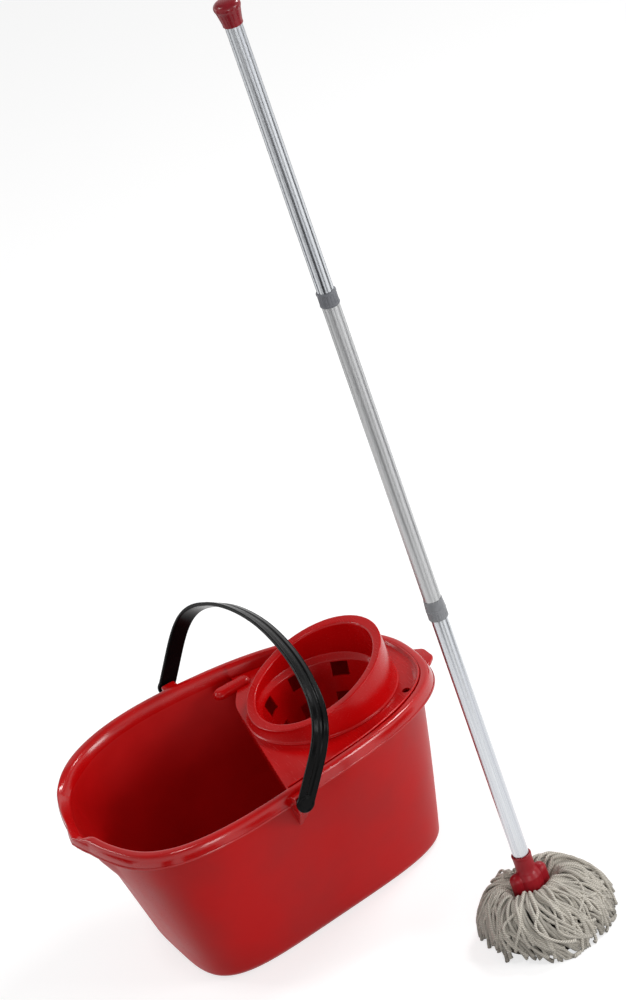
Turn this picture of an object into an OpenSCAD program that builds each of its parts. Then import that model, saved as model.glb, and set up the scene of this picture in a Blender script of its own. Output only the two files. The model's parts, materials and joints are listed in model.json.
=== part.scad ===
// Household mop and pouring bucket with a lift-out wringer.
// Millimetres, +Z up. X runs from the spout (-X) to the wringer (+X).
// The origin is the middle of the bucket's flat base, on the floor.

/* [Bucket] */
// Length over the rim
rim_length = 440; // [420:1:460]
// Width over the rim at mid length
rim_width = 317; // [300:1:335]
// Squareness of the rim's outline (2 is an ellipse)
rim_squareness = 2.6; // [2.4:0.1:3]
// How much wider the spout end is than the wringer end
rim_egg = 0.175; // [0.1:0.005:0.2]
// Height of the rim's crest at mid length
bucket_height = 217; // [200:1:240]
// How far the crest falls from mid length to each end
rim_drop = 14; // [8:1:16]
// Length of the base
base_length = 322; // [295:1:345]
// Width of the base
base_width = 193; // [172:1:204]
// Squareness of the base's outline
base_squareness = 4.2; // [3:0.1:5]
// How much wider the base is at the spout end
base_egg = 0.215; // [0.1:0.005:0.25]
// Base moved towards the wringer end
base_shift = 2.8; // [0:0.1:4]
// Rounding where the wall meets the base
base_radius = 11; // [8:0.5:15]
// Wall thickness
wall = 2.6; // [2:0.1:3.2]
// Floor thickness
floor_wall = 3; // [2.4:0.1:4]

/* [Rim bead] */
// Width of the rolled bead
bead_width = 17.6; // [15:0.1:20]
// Depth of the skirt that hangs from the bead
skirt_depth = 14.3; // [11:0.1:17]
// Thickness of the skirt
skirt_wall = 2.2; // [1.8:0.1:2.8]

/* [Spout] */
// How far the pouring tip stands out past the rim
spout_reach = 5; // [2:0.5:8]
// Width over which the bead fades into the lip
spout_width = 150; // [130:1:170]
// Width of the plain lip between the faded ends
spout_mouth = 86; // [60:1:100]
// How far the middle of the lip lies towards +Y
spout_side = 51; // [30:1:55]
// Width of the pouring tip
tip_width = 62; // [46:1:76]
// How far the pouring tip lies towards +Y
tip_side = 5; // [0:1:12]
// How far the lip lies below the crest
spout_dip = 4; // [2:0.5:7]
// Height of the sloping channel behind the lip
spout_ramp = 12; // [10:0.5:15]
// How far the wall under the lip flares outwards
spout_flare = 8; // [5:0.5:9]
// Skirt left under the lip
spout_skirt = 8; // [5:0.5:10]
// How far the rim draws in beside the spout
spout_draw = 4; // [0:0.5:6]
// Width of the drip rib under the tip
rib_width = 6; // [4:0.5:10]

/* [Pour grip] */
// Width of the grip tab under the rear rim
grip_width = 46; // [36:1:60]
// How far the grip tab lies towards -Y
grip_side = 6; // [0:1:10]
// How far the tab stands out past the rim
grip_reach = 11; // [6:0.5:14]
// Thickness of the tab
grip_thickness = 4; // [3:0.5:6]

/* [Bail] */
// Height of the arch above its pivots
bail_rise = 140; // [128:1:150]
// Lean of the drawn bail towards the wringer
bail_lean = 33.5; // [20:1:40]
// Width of the strap
bail_width = 20; // [14:0.5:22]
// Thickness of the strap
bail_thickness = 4.5; // [3.5:0.1:6]
// Depth of the groove along the strap
bail_groove = 1.1; // [0.5:0.1:1.6]
// Gap between the rim and the strap
bail_gap = 14.5; // [13:0.5:16]
// How far the legs bow outwards above the pivots
bail_bow = 5; // [0:0.5:6]
// Pivot's place along the bucket
pivot_x = -15; // [-22:1:-8]
// Pivot's depth below the crest
pivot_drop = 10; // [9:0.5:14]
// Diameter of the bail's pegs
peg_diameter = 9.84; // [8:0.02:11]
// Length of the pegs past the strap
peg_length = 17; // [14:0.5:18]
// Radial play of a peg in its bore
peg_play = 0.08; // [0.04:0.01:0.1]
// Width of the pivot block
block_width = 17; // [15:0.5:20]
// Width of the block's lower tip
block_tip = 4; // [2:0.5:8]
// How far the pivot block stands out past the rim
block_stand = 10.5; // [8:0.5:11.5]
// Depth of the block's straight part below the pivot
block_straight = 12; // [9:0.5:16]
// Depth of the block's lower tip below the pivot
block_drop = 47; // [36:1:56]

/* [Wringer] */
// Deck's top face below the crest
deck_drop = 14; // [13:0.5:15.5]
// Thickness of the deck and its edge
deck_thickness = 2.5; // [2:0.1:3]
// Gap between the collar and the deck's free edge, on the middle line
edge_gap = 2; // [1.5:0.5:7]
// Skew of the deck's free edge
deck_edge_skew = 10.4; // [6:0.1:12]
// How far the deck's flange lies over the bead
flange_width = 3; // [2.5:0.5:6]
// Depth of the lip that hangs from the free edge, below the deck
edge_lip = 12.5; // [8:0.5:16]
// Diameter of the deck's two small holes
deck_hole = 9; // [5:0.5:10]
// Place of each small hole between the collar and the deck's outline
deck_hole_share = 0.65; // [0.5:0.05:0.7]
// Width of the hook finger
finger_width = 19; // [14:1:22]
// Height of the hook finger above the deck
finger_height = 6; // [4:0.5:8]
// Gap between the basket's collar and the deck's rear edge
rear_gap = 15.3; // [13:0.1:16]
// Outer radius of the basket's collar at the deck
collar_radius = 87.5; // [84:0.5:87.5]
// How much the collar narrows towards its top
collar_taper = 4.5; // [2:0.5:6]
// Height of the mouth's middle above the deck
mouth_height = 35; // [31:1:40]
// Tilt of the mouth towards the spout
mouth_tilt = 14.9; // [10:0.1:17]
// Width of the lip round the mouth
lip_width = 12.5; // [9:0.5:14]
// How far the throat steps in above the cone
waist_step = 7; // [4:0.5:8]
// Depth of the basket below the deck
basket_depth = 93; // [80:1:105]
// Inner radius at the basket's floor
basket_floor_radius = 39; // [32:1:45]
// Wall of the basket
basket_wall = 2.5; // [2:0.1:3]
// Width of the drain holes
drain_width = 20.5; // [14:0.5:21.5]
// Height of the drain holes
drain_height = 16; // [12:0.5:18]
// Drain holes in a row
drain_count = 8; // [6:1:8]
// Rows of drain holes
drain_rows = 2; // [2:1:3]
// Distance between rows
drain_pitch = 34; // [30:0.5:35]
// Middle of the top row below the deck
drain_drop = 3.2; // [2.2:0.2:6]

/* [Handle] */
// Mop's place along the bucket
mop_x = 156; // [120:1:180]
// Mop's place in front of the bucket
mop_y = -294; // [-320:1:-285]
// Diameter of the upper and lower tubes
tube_diameter = 18; // [16:0.5:20]
// Wall of the tubes
tube_wall = 0.45; // [0.4:0.05:0.8]
// Radial play of a tube in the middle tube
tube_play = 0.05; // [0.03:0.01:0.1]
// Length of lower tube showing above the socket
lower_showing = 309; // [280:1:340]
// Length of the middle tube
middle_length = 383; // [370:1:420]
// Length of upper tube showing below the cap
upper_showing = 305; // [280:1:340]
// Length of tube hidden inside the middle tube
tube_overlap = 60; // [50:1:66]
// Height of the lower collar
lower_collar_height = 24; // [20:0.5:28]
// Height of the upper collar
upper_collar_height = 17; // [14:0.5:20]
// Outer diameter of the collars
collar_diameter = 22; // [20.8:0.1:24]
// Height of the end cap
cap_height = 27; // [24:0.5:32]
// Diameter of the end cap
cap_diameter = 28; // [25:0.5:32]

/* [Mop head] */
// Height of the socket's mouth above the floor
socket_mouth = 93; // [90:1:100]
// Length of the socket's sleeve above its hood
sleeve_length = 23; // [21:0.5:24]
// Outer diameter of the sleeve
sleeve_diameter = 21.6; // [20.6:0.1:24]
// Depth of the hood
hood_depth = 23; // [21:0.5:25]
// Outer diameter of the hood
hood_diameter = 29; // [27.5:0.5:32]
// Distance over both ears
ear_span = 44; // [42:0.5:48]
// Radius of each ear
ear_radius = 8; // [7:0.5:9]
// Depth of the teeth under the hood
tooth_depth = 3; // [2:0.5:4]
// Radius of the yarn at its widest
yarn_radius = 77; // [70:1:90]
// Height of the yarn's shoulder
yarn_height = 61; // [58:1:64]

/* [Hidden] */
$fn = 64;
// Gap kept between pieces on different bodies
clear = 0.4;
// Overlap that makes a cut break through
cut = 1;

// Rings of the shell: points round each one, drawn closer at the spout
ring_points = 80;
ring_crowding = 25;
ring_angles = [for (i = [0:ring_points - 1])
    let (u = 360 * i / ring_points) u + ring_crowding * sin(u)];

rim_a = rim_length / 2;
rim_b = rim_width / 2;
wall_inset = bead_width - wall;
wall_top = bucket_height - skirt_depth;

function mix(a, b, t) = a + (b - a) * t;
function smooth(t) = let (u = min(1, max(0, t))) u * u * (3 - 2 * u);

// Superellipse point in direction w, its width varied along X by egg
function plan_point(w, a, b, n, egg, shift) =
    let (r = pow(pow(abs(cos(w)) / a, n) + pow(abs(sin(w)) / b, n), -1 / n), x = r * cos(w))
    [x + shift, r * sin(w) * (1 - egg * x / a)];

// A ring is [a, b, squareness, egg, shift, z, arch, push, fall, tip];
// push, fall and tip move it outwards, down and to a point at the spout
function fade(y) = smooth((spout_width / 2 - abs(y - spout_side)) / (spout_width / 2 - spout_mouth / 2));
// The rim draws in most at the spout's half width, and not at all at the tip
function bump(y) =
    let (h = spout_width / 2) smooth(abs(y) / h) * smooth(2 - abs(y) / h);
function point_on(w, g) =
    let (p = plan_point(w, g[0], g[1], g[2], g[3], g[4]),
        k = p[0] < 0 ? fade(p[1]) : 0,
        v = p[0] < 0 ? max(0, 1 - abs(p[1] - tip_side) / (tip_width / 2)) : 0,
        d = p[0] < 0 ? spout_draw * g[6] * bump(p[1]) : 0)
    [p[0] + d - g[7] * k - spout_reach * g[9] * v, p[1],
        g[5] - g[6] * rim_drop * pow(p[0] / rim_a, 2) - g[8] * k];
function ring_on(g) = [for (w = ring_angles) point_on(w, g)];

// Ring on the wall at height z, moved in by inset; it flares at the spout from the third step up
function wall_ring(z, inset) =
    let (h = z / wall_top, k = smooth((h - wall_steps[1]) / (wall_steps[2] - wall_steps[1])))
    [mix(base_length / 2, rim_a - wall_inset, h) - inset, mix(base_width / 2, rim_b - wall_inset, h) - inset,
        mix(base_squareness, rim_squareness, h), mix(base_egg, rim_egg, h), base_shift * (1 - h), z, h,
        spout_flare * k, 0, 0];
// Ring on the bead: inset from the rim's edge, depth below the crest, and the same two in the spout
function bead_ring(p, q) =
    [rim_a - p[0], rim_b - p[0], rim_squareness, rim_egg, 0, bucket_height - p[1], 1,
        p[0] - q[0], q[1] - p[1], max(0, 1 - q[0] / bead_width)];

// The bead's top is a rounded hump over its width, s = 0 outside to 1 inside
outer_roundness = 5;
inner_roundness = 3;
function bead_top(s) =
    [s * bead_width, skirt_depth * pow(abs(2 * s - 1), s < 0.5 ? outer_roundness : inner_roundness)];
function bead_under(s) =
    [mix(skirt_wall, wall_inset, s),
        skirt_wall + (skirt_depth - skirt_wall) * pow(abs(2 * s - 1), outer_roundness)];
// In the spout the same points lie on a thin sloping lip
lip_edge = 1.2;
lip_split = 0.25;
lip_under_gap = 4.5;
function lip_top(s) =
    s < lip_split
        ? [lip_edge * pow(s / lip_split, 2), spout_dip + spout_skirt * pow(1 - s / lip_split, 3)]
        : let (q = pow((s - lip_split) / (1 - lip_split), 1.4))
            [mix(lip_edge, bead_width - spout_flare, q), spout_dip + spout_ramp * q];
function lip_under(s) =
    s == 0 ? [skirt_wall, spout_dip + spout_skirt]
        : [mix(skirt_wall, wall_inset - spout_flare / 2, s), spout_dip + lip_under_gap + spout_ramp * s];

top_steps = [0, 0.04, 0.12, 0.25, 0.42, 0.6, 0.75, 0.88, 1];
under_steps = [1, 0.85, 0.5, 0.15, 0.05, 0];
wall_steps = [0.3, 0.6, 0.86];
round_steps = [0, 30, 60, 90];

shell_rings = concat(
    [for (q = round_steps) wall_ring(base_radius * (1 - cos(q)), base_radius * (1 - sin(q)))],
    [for (h = wall_steps) wall_ring(h * wall_top, 0)],
    [for (s = under_steps) bead_ring(bead_under(s), lip_under(s))],
    [for (s = top_steps) bead_ring(bead_top(s), lip_top(s))],
    [for (i = [2:-1:0]) wall_ring(wall_steps[i] * wall_top, wall)],
    [for (i = [3:-1:0]) let (q = round_steps[i], r = base_radius - wall)
        wall_ring(floor_wall + r * (1 - cos(q)), wall + r * (1 - sin(q)))]);

// Skin over a list of rings, closed by end faces or round on itself
module loft(rings, round_trip = false) {
    n = len(rings[0]);
    m = len(rings);
    last = round_trip ? m - 1 : m - 2;
    sides = [for (j = [0:last], i = [0:n - 1])
        let (a = j * n + i, b = j * n + (i + 1) % n, k = ((j + 1) % m) * n, c = k + (i + 1) % n, d = k + i)
        each [[a, d, c], [a, c, b]]];
    ends = round_trip ? [] : [[for (i = [0:n - 1]) i], [for (i = [n - 1:-1:0]) (m - 1) * n + i]];
    polyhedron(points = [for (g = rings) each g], faces = concat(sides, ends), convexity = 10);
}

// Half width of the rim at x
function rim_half(x) =
    rim_b * pow(1 - pow(abs(x) / rim_a, rim_squareness), 1 / rim_squareness) * (1 - rim_egg * x / rim_a);
function crest_z(x) = bucket_height - rim_drop * pow(x / rim_a, 2);
// Half width of the deck's plate at x
function deck_half(x) = (rim_b - deck_inset) * pow(1 - pow(abs(x) / (rim_a - deck_inset), rim_squareness),
    1 / rim_squareness) * (1 - rim_egg * x / (rim_a - deck_inset));

// Pivot of the bail and the blocks that hold it
pivot_z = bucket_height - pivot_drop;
pivot_y = rim_half(pivot_x);
block_face = pivot_y + block_stand;
block_bottom = pivot_z - block_drop;
strap_inner = pivot_y + bail_gap;
bail_half = strap_inner + bail_thickness / 2;
bore_depth = block_face - strap_inner + peg_length + cut;

// The wall's outer face at the pivot, at height z
function wall_y(z) =
    mix(base_width / 2, rim_b - wall_inset, z / wall_top) * pivot_y / rim_b;
function bead_y(s, lower) =
    [pivot_y - s * wall_inset, bucket_height - skirt_wall - lower];

// A gusset under the bead: straight round the bore, then narrowing and falling back to the wall
module pivot_block() {
    reach = block_face + cut;
    intersection() {
        translate([pivot_x - block_width / 2, 0, 0])
            rotate([90, 0, 90])
                linear_extrude(block_width)
                    polygon([[block_face, pivot_z - block_straight],
                        [block_face, bucket_height - skirt_depth * 0.2],
                        bead_y(0.15, 0.4), bead_y(0.6, 0.4), bead_y(0.85, skirt_depth * 0.45),
                        [wall_y(wall_top) - wall * 0.35, wall_top],
                        [wall_y(block_bottom) - wall * 0.35, block_bottom],
                        [wall_y(block_bottom) + wall / 2, block_bottom]]);
        translate([pivot_x, reach, 0])
            rotate([90, 0, 0])
                linear_extrude(reach)
                    polygon([[-block_tip / 2, block_bottom], [block_tip / 2, block_bottom],
                        [block_width / 2, pivot_z - block_straight], [block_width / 2, bucket_height],
                        [-block_width / 2, bucket_height], [-block_width / 2, pivot_z - block_straight]]);
    }
}

module pivot_bore() {
    translate([pivot_x, block_face - bore_depth, pivot_z])
        rotate([-90, 0, 0])
            cylinder(r = peg_diameter / 2 + peg_play, h = bore_depth + cut);
}

grip_root = rim_a - bead_width;
grip_z = crest_z(rim_a) - skirt_depth;

module pour_grip() {
    translate([0, -grip_side, grip_z])
        linear_extrude(grip_thickness)
            polygon([[grip_root, -grip_width / 2], [rim_a, -grip_width / 2],
                [rim_a + grip_reach, -grip_width / 4], [rim_a + grip_reach, grip_width / 4],
                [rim_a, grip_width / 2], [grip_root, grip_width / 2]]);
}

rib_height = spout_skirt + 2;

module drip_rib() {
    translate([-rim_a - spout_reach / 2, tip_side - rib_width / 2,
        crest_z(rim_a) - spout_dip - lip_under_gap - rib_height])
        cube([bead_width / 2, rib_width, rib_height]);
}

module bucket_shell() {
    color([0.78, 0.06, 0.07]) {
        difference() {
            union() {
                loft([for (g = shell_rings) ring_on(g)]);
                pivot_block();
                mirror([0, 1, 0]) pivot_block();
                pour_grip();
                drip_rib();
            }
            pivot_bore();
            mirror([0, 1, 0]) pivot_bore();
        }
    }
}

// Bail: centre curve in its own plane, [sideways, up], for a step u from 0 to 1
bail_side_power = 1.09;
bail_top_power = 0.47;
bail_bow_rate = 4;
bail_steps = 40;
function bail_point(u) =
    let (t = 90 * (1 - cos(180 * u)), c = cos(t))
    [sign(c) * (bail_half * pow(abs(c), bail_side_power) + bail_bow * sin(min(180, bail_bow_rate * t))),
        bail_rise * pow(abs(sin(t)), bail_top_power)];
function bail_tangent(u) =
    let (e = 0.01, d = bail_point(min(1, u + e)) - bail_point(max(0, u - e)))
    d / norm(d);
// Section of the strap: [across, out], two ridges and a groove on the outer face
strap_section =
    let (w = bail_width / 2, d = bail_thickness / 2, e = bail_thickness / 4, g = bail_groove)
    [[-w, -d + e], [-w + e, -d], [w - e, -d], [w, -d + e], [w, d - e], [w - e, d],
        [w / 3, d], [w / 6, d - g], [-w / 6, d - g], [-w / 3, d], [-w + e, d], [-w, d - e]];
function strap_ring(u) =
    let (p = bail_point(u), t = u == 0 ? [0, 1] : u == 1 ? [0, -1] : bail_tangent(u))
    [for (s = strap_section) [s[0], p[0] + s[1] * t[1], p[1] - s[1] * t[0]]];

end_radius = bail_width / 2 + 0.5;

module bail_end() {
    translate([0, strap_inner, 0])
        rotate([-90, 0, 0])
            cylinder(r = end_radius, h = bail_thickness);
    translate([0, strap_inner - peg_length, 0])
        rotate([-90, 0, 0])
            cylinder(r = peg_diameter / 2, h = peg_length + bail_thickness / 2);
}

module bail_handle() {
    color([0.05, 0.05, 0.055])
        translate([pivot_x, 0, pivot_z])
            rotate([0, bail_lean, 0]) {
                loft([for (i = [0:bail_steps]) strap_ring(i / bail_steps)]);
                bail_end();
                mirror([0, 1, 0]) bail_end();
            }
}

// Wringer deck: a plate, an edge wall that follows the bucket's wall, a flange over the bead, and a
// lip that hangs from the free edge
deck_z = bucket_height - deck_drop;
deck_bottom = deck_z - deck_thickness;
deck_inset = bead_width + 0.9 + clear / 2;
flange_inset = bead_width * 0.88 - flange_width;
function deck_ring(inset, depth) =
    [rim_a - inset, rim_b - inset, rim_squareness, rim_egg, 0, bucket_height - depth, 1, 0, 0, 0];
function flat_ring(inset, z) =
    [rim_a - inset, rim_b - inset, rim_squareness, rim_egg, 0, z, 0, 0, 0, 0];
function shoulder_depth(inset) =
    let (s = inset / bead_width) s < 0.5 ? 0 : skirt_depth * pow(2 * s - 1, inner_roundness);
flange_mid = bead_width * 0.78;
edge_rings = [
    flat_ring(deck_inset, deck_bottom),
    deck_ring(bead_width * 0.87, shoulder_depth(bead_width * 0.82)),
    deck_ring(flange_mid, shoulder_depth(flange_mid - clear) - clear / 2),
    deck_ring(flange_inset, -clear),
    deck_ring(flange_inset + 0.4, -clear - 0.8),
    deck_ring(flange_inset + 1.2, -clear - 1.2),
    deck_ring(flange_mid + 1, -clear - 0.6),
    deck_ring(bead_width * 0.98, 2),
    flat_ring(deck_inset + deck_thickness, deck_z)];

wringer_x = rim_a - deck_inset - collar_radius - rear_gap;
deck_edge_x = wringer_x - collar_radius - edge_gap;
edge_slope = tan(deck_edge_skew);
notch_x = deck_edge_x + 37;
far = 260;

// Plan of the deck's side of the bucket, past its free edge
module deck_zone(low, high) {
    translate([0, 0, low])
        linear_extrude(high - low)
            polygon([[deck_edge_x - far * edge_slope, -far], [far, -far], [far, far], [notch_x, far],
                [notch_x, finger_y + finger_width / 3], [notch_x - 3, finger_y - finger_width / 4],
                [notch_x - 13, finger_y - finger_width],
                [deck_edge_x + (finger_y - 2 * finger_width) * edge_slope, finger_y - 2 * finger_width]]);
}

finger_y = rim_b - 46.5;
finger_tip_x = notch_x - 22;

module hook_finger() {
    translate([0, 0, deck_bottom])
        linear_extrude(deck_thickness + finger_height) {
            translate([finger_tip_x, finger_y]) circle(r = finger_width / 2);
            translate([finger_tip_x, finger_y - finger_width / 2])
                square([notch_x + 6 - finger_tip_x, finger_width]);
            translate([notch_x + 6, finger_y]) circle(r = finger_width / 2);
        }
}

spigot_wall = 2.5;
spigot_radius = collar_radius - spigot_wall - 2;
spigot_fit = 0.1;
deck_hole_x = wringer_x + collar_radius * 0.815;
collar_hole_y = sqrt(pow(collar_radius, 2) - pow(deck_hole_x - wringer_x, 2));
deck_hole_y = mix(collar_hole_y, deck_half(deck_hole_x), deck_hole_share);

// The lip keeps clear of the bucket's wall, which leans in below the deck
lip_inset = deck_inset + 6;

module free_lip() {
    low = deck_bottom - edge_lip;
    intersection() {
        difference() {
            deck_zone(low, deck_bottom + clear);
            translate([deck_thickness, 0, 0]) deck_zone(low - cut, deck_z);
        }
        translate([0, 0, low])
            linear_extrude(edge_lip + cut)
                polygon([for (p = ring_on(flat_ring(lip_inset, 0))) [p[0], p[1]]]);
    }
}

module wringer_deck() {
    color([0.8, 0.05, 0.07])
        difference() {
            union() {
                intersection() {
                    union() {
                        loft([for (g = edge_rings) ring_on(g)], true);
                        translate([0, 0, deck_bottom])
                            linear_extrude(deck_thickness)
                                polygon([for (p = ring_on(flat_ring(deck_inset, 0))) [p[0], p[1]]]);
                    }
                    deck_zone(deck_bottom - cut, bucket_height + 2 * cut + 4);
                }
                hook_finger();
                free_lip();
            }
            translate([wringer_x, 0, deck_bottom - cut])
                cylinder(r = spigot_radius + spigot_fit, h = deck_thickness + 2 * cut, $fn = 96);
            for (side = [-1, 1])
                translate([deck_hole_x, side * deck_hole_y, deck_bottom - cut])
                    cylinder(r = deck_hole / 2, h = deck_thickness + 2 * cut);
        }
}

// Basket: a collar cut by the tilted mouth, a lip, and a pierced cone below
mouth_z = deck_z + mouth_height;
mouth_reach = collar_radius * tan(mouth_tilt);
collar_top = mouth_z + mouth_reach + 2 * cut;
mouth_radius = collar_radius - collar_taper;
throat_radius = collar_radius - collar_taper / 2 - lip_width;
waist_radius = throat_radius - waist_step;
waist_z = mouth_z - mouth_reach - 2;
waist_low = waist_z - waist_step;
basket_floor = deck_z - basket_depth;

module under_mouth(drop) {
    translate([wringer_x, 0, mouth_z - drop])
        rotate([0, -mouth_tilt, 0])
            translate([-far, -far, -far])
                cube([2 * far, 2 * far, far]);
}

module turned(points) {
    translate([wringer_x, 0, 0])
        rotate_extrude($fn = 96)
            polygon(points);
}

drain_reach = throat_radius + basket_wall + 2 - basket_floor_radius / 2;
floor_hole_ring = basket_floor_radius * 0.6;
floor_hole_count = 6;
floor_hole = 12;

module drain_row(height) {
    for (i = [0:drain_count - 1])
        translate([wringer_x, 0, height])
            rotate([0, 0, i * 360 / drain_count])
                translate([basket_floor_radius / 2, -drain_width / 2, -drain_height / 2])
                    cube([drain_reach, drain_width, drain_height]);
}

module wringer_basket() {
    color([0.82, 0.06, 0.08])
        difference() {
            intersection() {
                turned([[0, basket_floor], [basket_floor_radius + basket_wall, basket_floor],
                    [waist_radius + basket_wall, waist_low],
                    [throat_radius + basket_wall, waist_z],
                    [throat_radius + basket_wall, deck_z], [spigot_radius - spigot_wall, deck_z],
                    [spigot_radius - spigot_wall, deck_bottom - 2], [spigot_radius, deck_bottom - 2],
                    [spigot_radius, deck_z], [collar_radius, deck_z], [mouth_radius, collar_top],
                    [throat_radius, collar_top], [throat_radius, waist_z],
                    [waist_radius, waist_low],
                    [basket_floor_radius, basket_floor + basket_wall], [0, basket_floor + basket_wall]]);
                under_mouth(0);
            }
            intersection() {
                turned([[throat_radius + basket_wall, deck_z - cut],
                    [spigot_radius - spigot_wall, deck_z - cut],
                    [spigot_radius - spigot_wall, deck_z + basket_wall],
                    [collar_radius - basket_wall, deck_z + basket_wall],
                    [mouth_radius - basket_wall, collar_top], [throat_radius + basket_wall, collar_top]]);
                under_mouth(basket_wall);
            }
            for (i = [0:drain_rows - 1])
                drain_row(deck_z - drain_drop - i * drain_pitch);
            for (i = [0:floor_hole_count - 1])
                translate([wringer_x, 0, basket_floor - cut])
                    rotate([0, 0, i * 360 / floor_hole_count])
                        translate([floor_hole_ring, 0, 0])
                            cylinder(d = floor_hole, h = basket_wall + 2 * cut);
        }
}

// Handle: heights worked out from the floor up
tube_r = tube_diameter / 2;
middle_bore = tube_r + tube_play;
middle_r = middle_bore + tube_wall;
sleeve_seat = 6.5;
lower_bottom = socket_mouth - sleeve_seat;
lower_collar_z = socket_mouth + lower_showing;
middle_seat = 10;
middle_bottom = lower_collar_z + middle_seat;
middle_top = middle_bottom + middle_length;
lower_top = middle_bottom + tube_overlap;
upper_bottom = middle_top - tube_overlap;
upper_collar_z = middle_top - upper_collar_height / 2;
cap_z = upper_collar_z + upper_collar_height + upper_showing;
cap_seat = cap_height - 6;
collar_r = collar_diameter / 2;
collar_fit = 0.02;

module at_mop(z) {
    translate([mop_x, mop_y, z])
        children();
}

module tube(low, high, r) {
    at_mop(low)
        difference() {
            cylinder(r = r, h = high - low);
            translate([0, 0, -cut])
                cylinder(r = r - tube_wall, h = high - low + 2 * cut);
        }
}

module end_cap() {
    cap_r = cap_diameter / 2;
    color([0.6, 0.03, 0.06])
        at_mop(cap_z)
            rotate_extrude()
                polygon([[tube_r + collar_fit, 0], [tube_r + 1.4, 0], [tube_r + 1.4, cap_height * 0.12],
                    [cap_r - 1.2, cap_height * 0.6], [cap_r, cap_height * 0.7], [cap_r, cap_height * 0.8],
                    [cap_r - 1.2, cap_height * 0.88], [cap_r * 0.72, cap_height * 0.96],
                    [cap_r * 0.3, cap_height], [0, cap_height], [0, cap_seat],
                    [tube_r + collar_fit, cap_seat]]);
}

module upper_tube() {
    color([0.75, 0.77, 0.8])
        tube(upper_bottom, cap_z + cap_seat - clear, tube_r);
}

module middle_tube() {
    color([0.66, 0.67, 0.69])
        tube(middle_bottom, middle_top, middle_r);
}

module lower_tube() {
    color([0.75, 0.77, 0.8])
        tube(lower_bottom, lower_top, tube_r);
}

// Collar seen from its tube end: a bush on the end of the middle tube, guiding the inner tube
module upper_collar() {
    color([0.36, 0.37, 0.4])
        at_mop(upper_collar_z)
            rotate_extrude()
                polygon([[middle_r + collar_fit, 0], [collar_r - 1.2, 0], [collar_r - 0.6, 0.6],
                    [collar_r - 0.5, upper_collar_height - 1.5], [collar_r - 1.5, upper_collar_height],
                    [middle_bore, upper_collar_height], [middle_bore, upper_collar_height / 2 + clear],
                    [middle_r + collar_fit, upper_collar_height / 2 + clear]]);
}

module lower_collar() {
    ring_z = lower_collar_height / 2;
    color([0.5, 0.51, 0.54])
        at_mop(lower_collar_z)
            rotate_extrude()
                polygon([[middle_bore, 0], [collar_r - 1.2, 0], [collar_r - 0.2, 1.2],
                    [collar_r - 0.2, ring_z - 1.6],
                    [collar_r, ring_z - 1.2], [collar_r, ring_z], [collar_r - 0.6, ring_z + 0.3],
                    [collar_r - 0.6, ring_z + 1.4], [collar_r - 0.2, ring_z + 1.8],
                    [middle_r + 0.5, lower_collar_height], [middle_r + collar_fit, lower_collar_height],
                    [middle_r + collar_fit, middle_seat - clear], [middle_bore, middle_seat - clear]]);
}

// Twist lock: a core pressed in the tube's end, with an expanding sleeve on its spindle
tube_bore = tube_r - tube_wall;
core_grip = 15;
spindle_r = tube_r * 0.55;
spindle_length = 21;
core_end = 3;
sleeve_play = 0.15;

module lock_core(low, up) {
    at_mop(low)
        mirror([0, 0, up ? 0 : 1])
            rotate_extrude()
                polygon([[0, -core_grip], [tube_bore, -core_grip], [tube_bore, 0], [spindle_r, 0],
                    [spindle_r, spindle_length], [tube_bore - 0.6, spindle_length],
                    [tube_bore - 0.6, spindle_length + core_end], [0, spindle_length + core_end]]);
}

module lock_sleeve(low, up) {
    at_mop(low)
        mirror([0, 0, up ? 0 : 1])
            translate([0, 0, 2])
                difference() {
                    cylinder(r = middle_bore - sleeve_play, h = spindle_length - 4);
                    translate([0, 0, -cut])
                        cylinder(r = spindle_r + sleeve_play, h = spindle_length);
                }
}

module upper_lock_core() {
    color([0.2, 0.2, 0.22]) lock_core(upper_bottom, false);
}

module upper_lock_sleeve() {
    color([0.85, 0.85, 0.82]) lock_sleeve(upper_bottom, false);
}

module lower_lock_core() {
    color([0.2, 0.2, 0.22]) lock_core(lower_top, true);
}

module lower_lock_sleeve() {
    color([0.85, 0.85, 0.82]) lock_sleeve(lower_top, true);
}

// Head: a threaded plug in the tube's end, a socket with two ears, and the yarn held by a retainer
thread_r = tube_r - 1.5;
thread_length = 14;
thread_play = 0.1;
hood_top = socket_mouth - sleeve_length;
hood_bottom = hood_top - hood_depth;
hood_r = hood_diameter / 2;
hood_wall = 2;
roof = 4;
cavity_top = hood_top - roof;
ear_x = ear_span / 2 - ear_radius;
yarn_play = 0.3;

module thread_plug() {
    color([0.2, 0.2, 0.22])
        at_mop(lower_bottom) {
            cylinder(r = tube_bore, h = core_grip + thread_length / 2);
            translate([0, 0, -thread_length])
                cylinder(r = thread_r, h = thread_length + cut);
        }
}

stem_r = 6;
pin_r = 3;
retainer_flange_r = 8;
retainer_flange = 3;

module ears() {
    for (side = [-1, 1])
        translate([side * ear_x, 0, 0]) {
            cylinder(r = ear_radius, h = hood_depth - ear_radius * 0.7);
            translate([0, 0, hood_depth - ear_radius * 0.7])
                sphere(r = ear_radius);
        }
}

tooth_count = 10;

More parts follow.
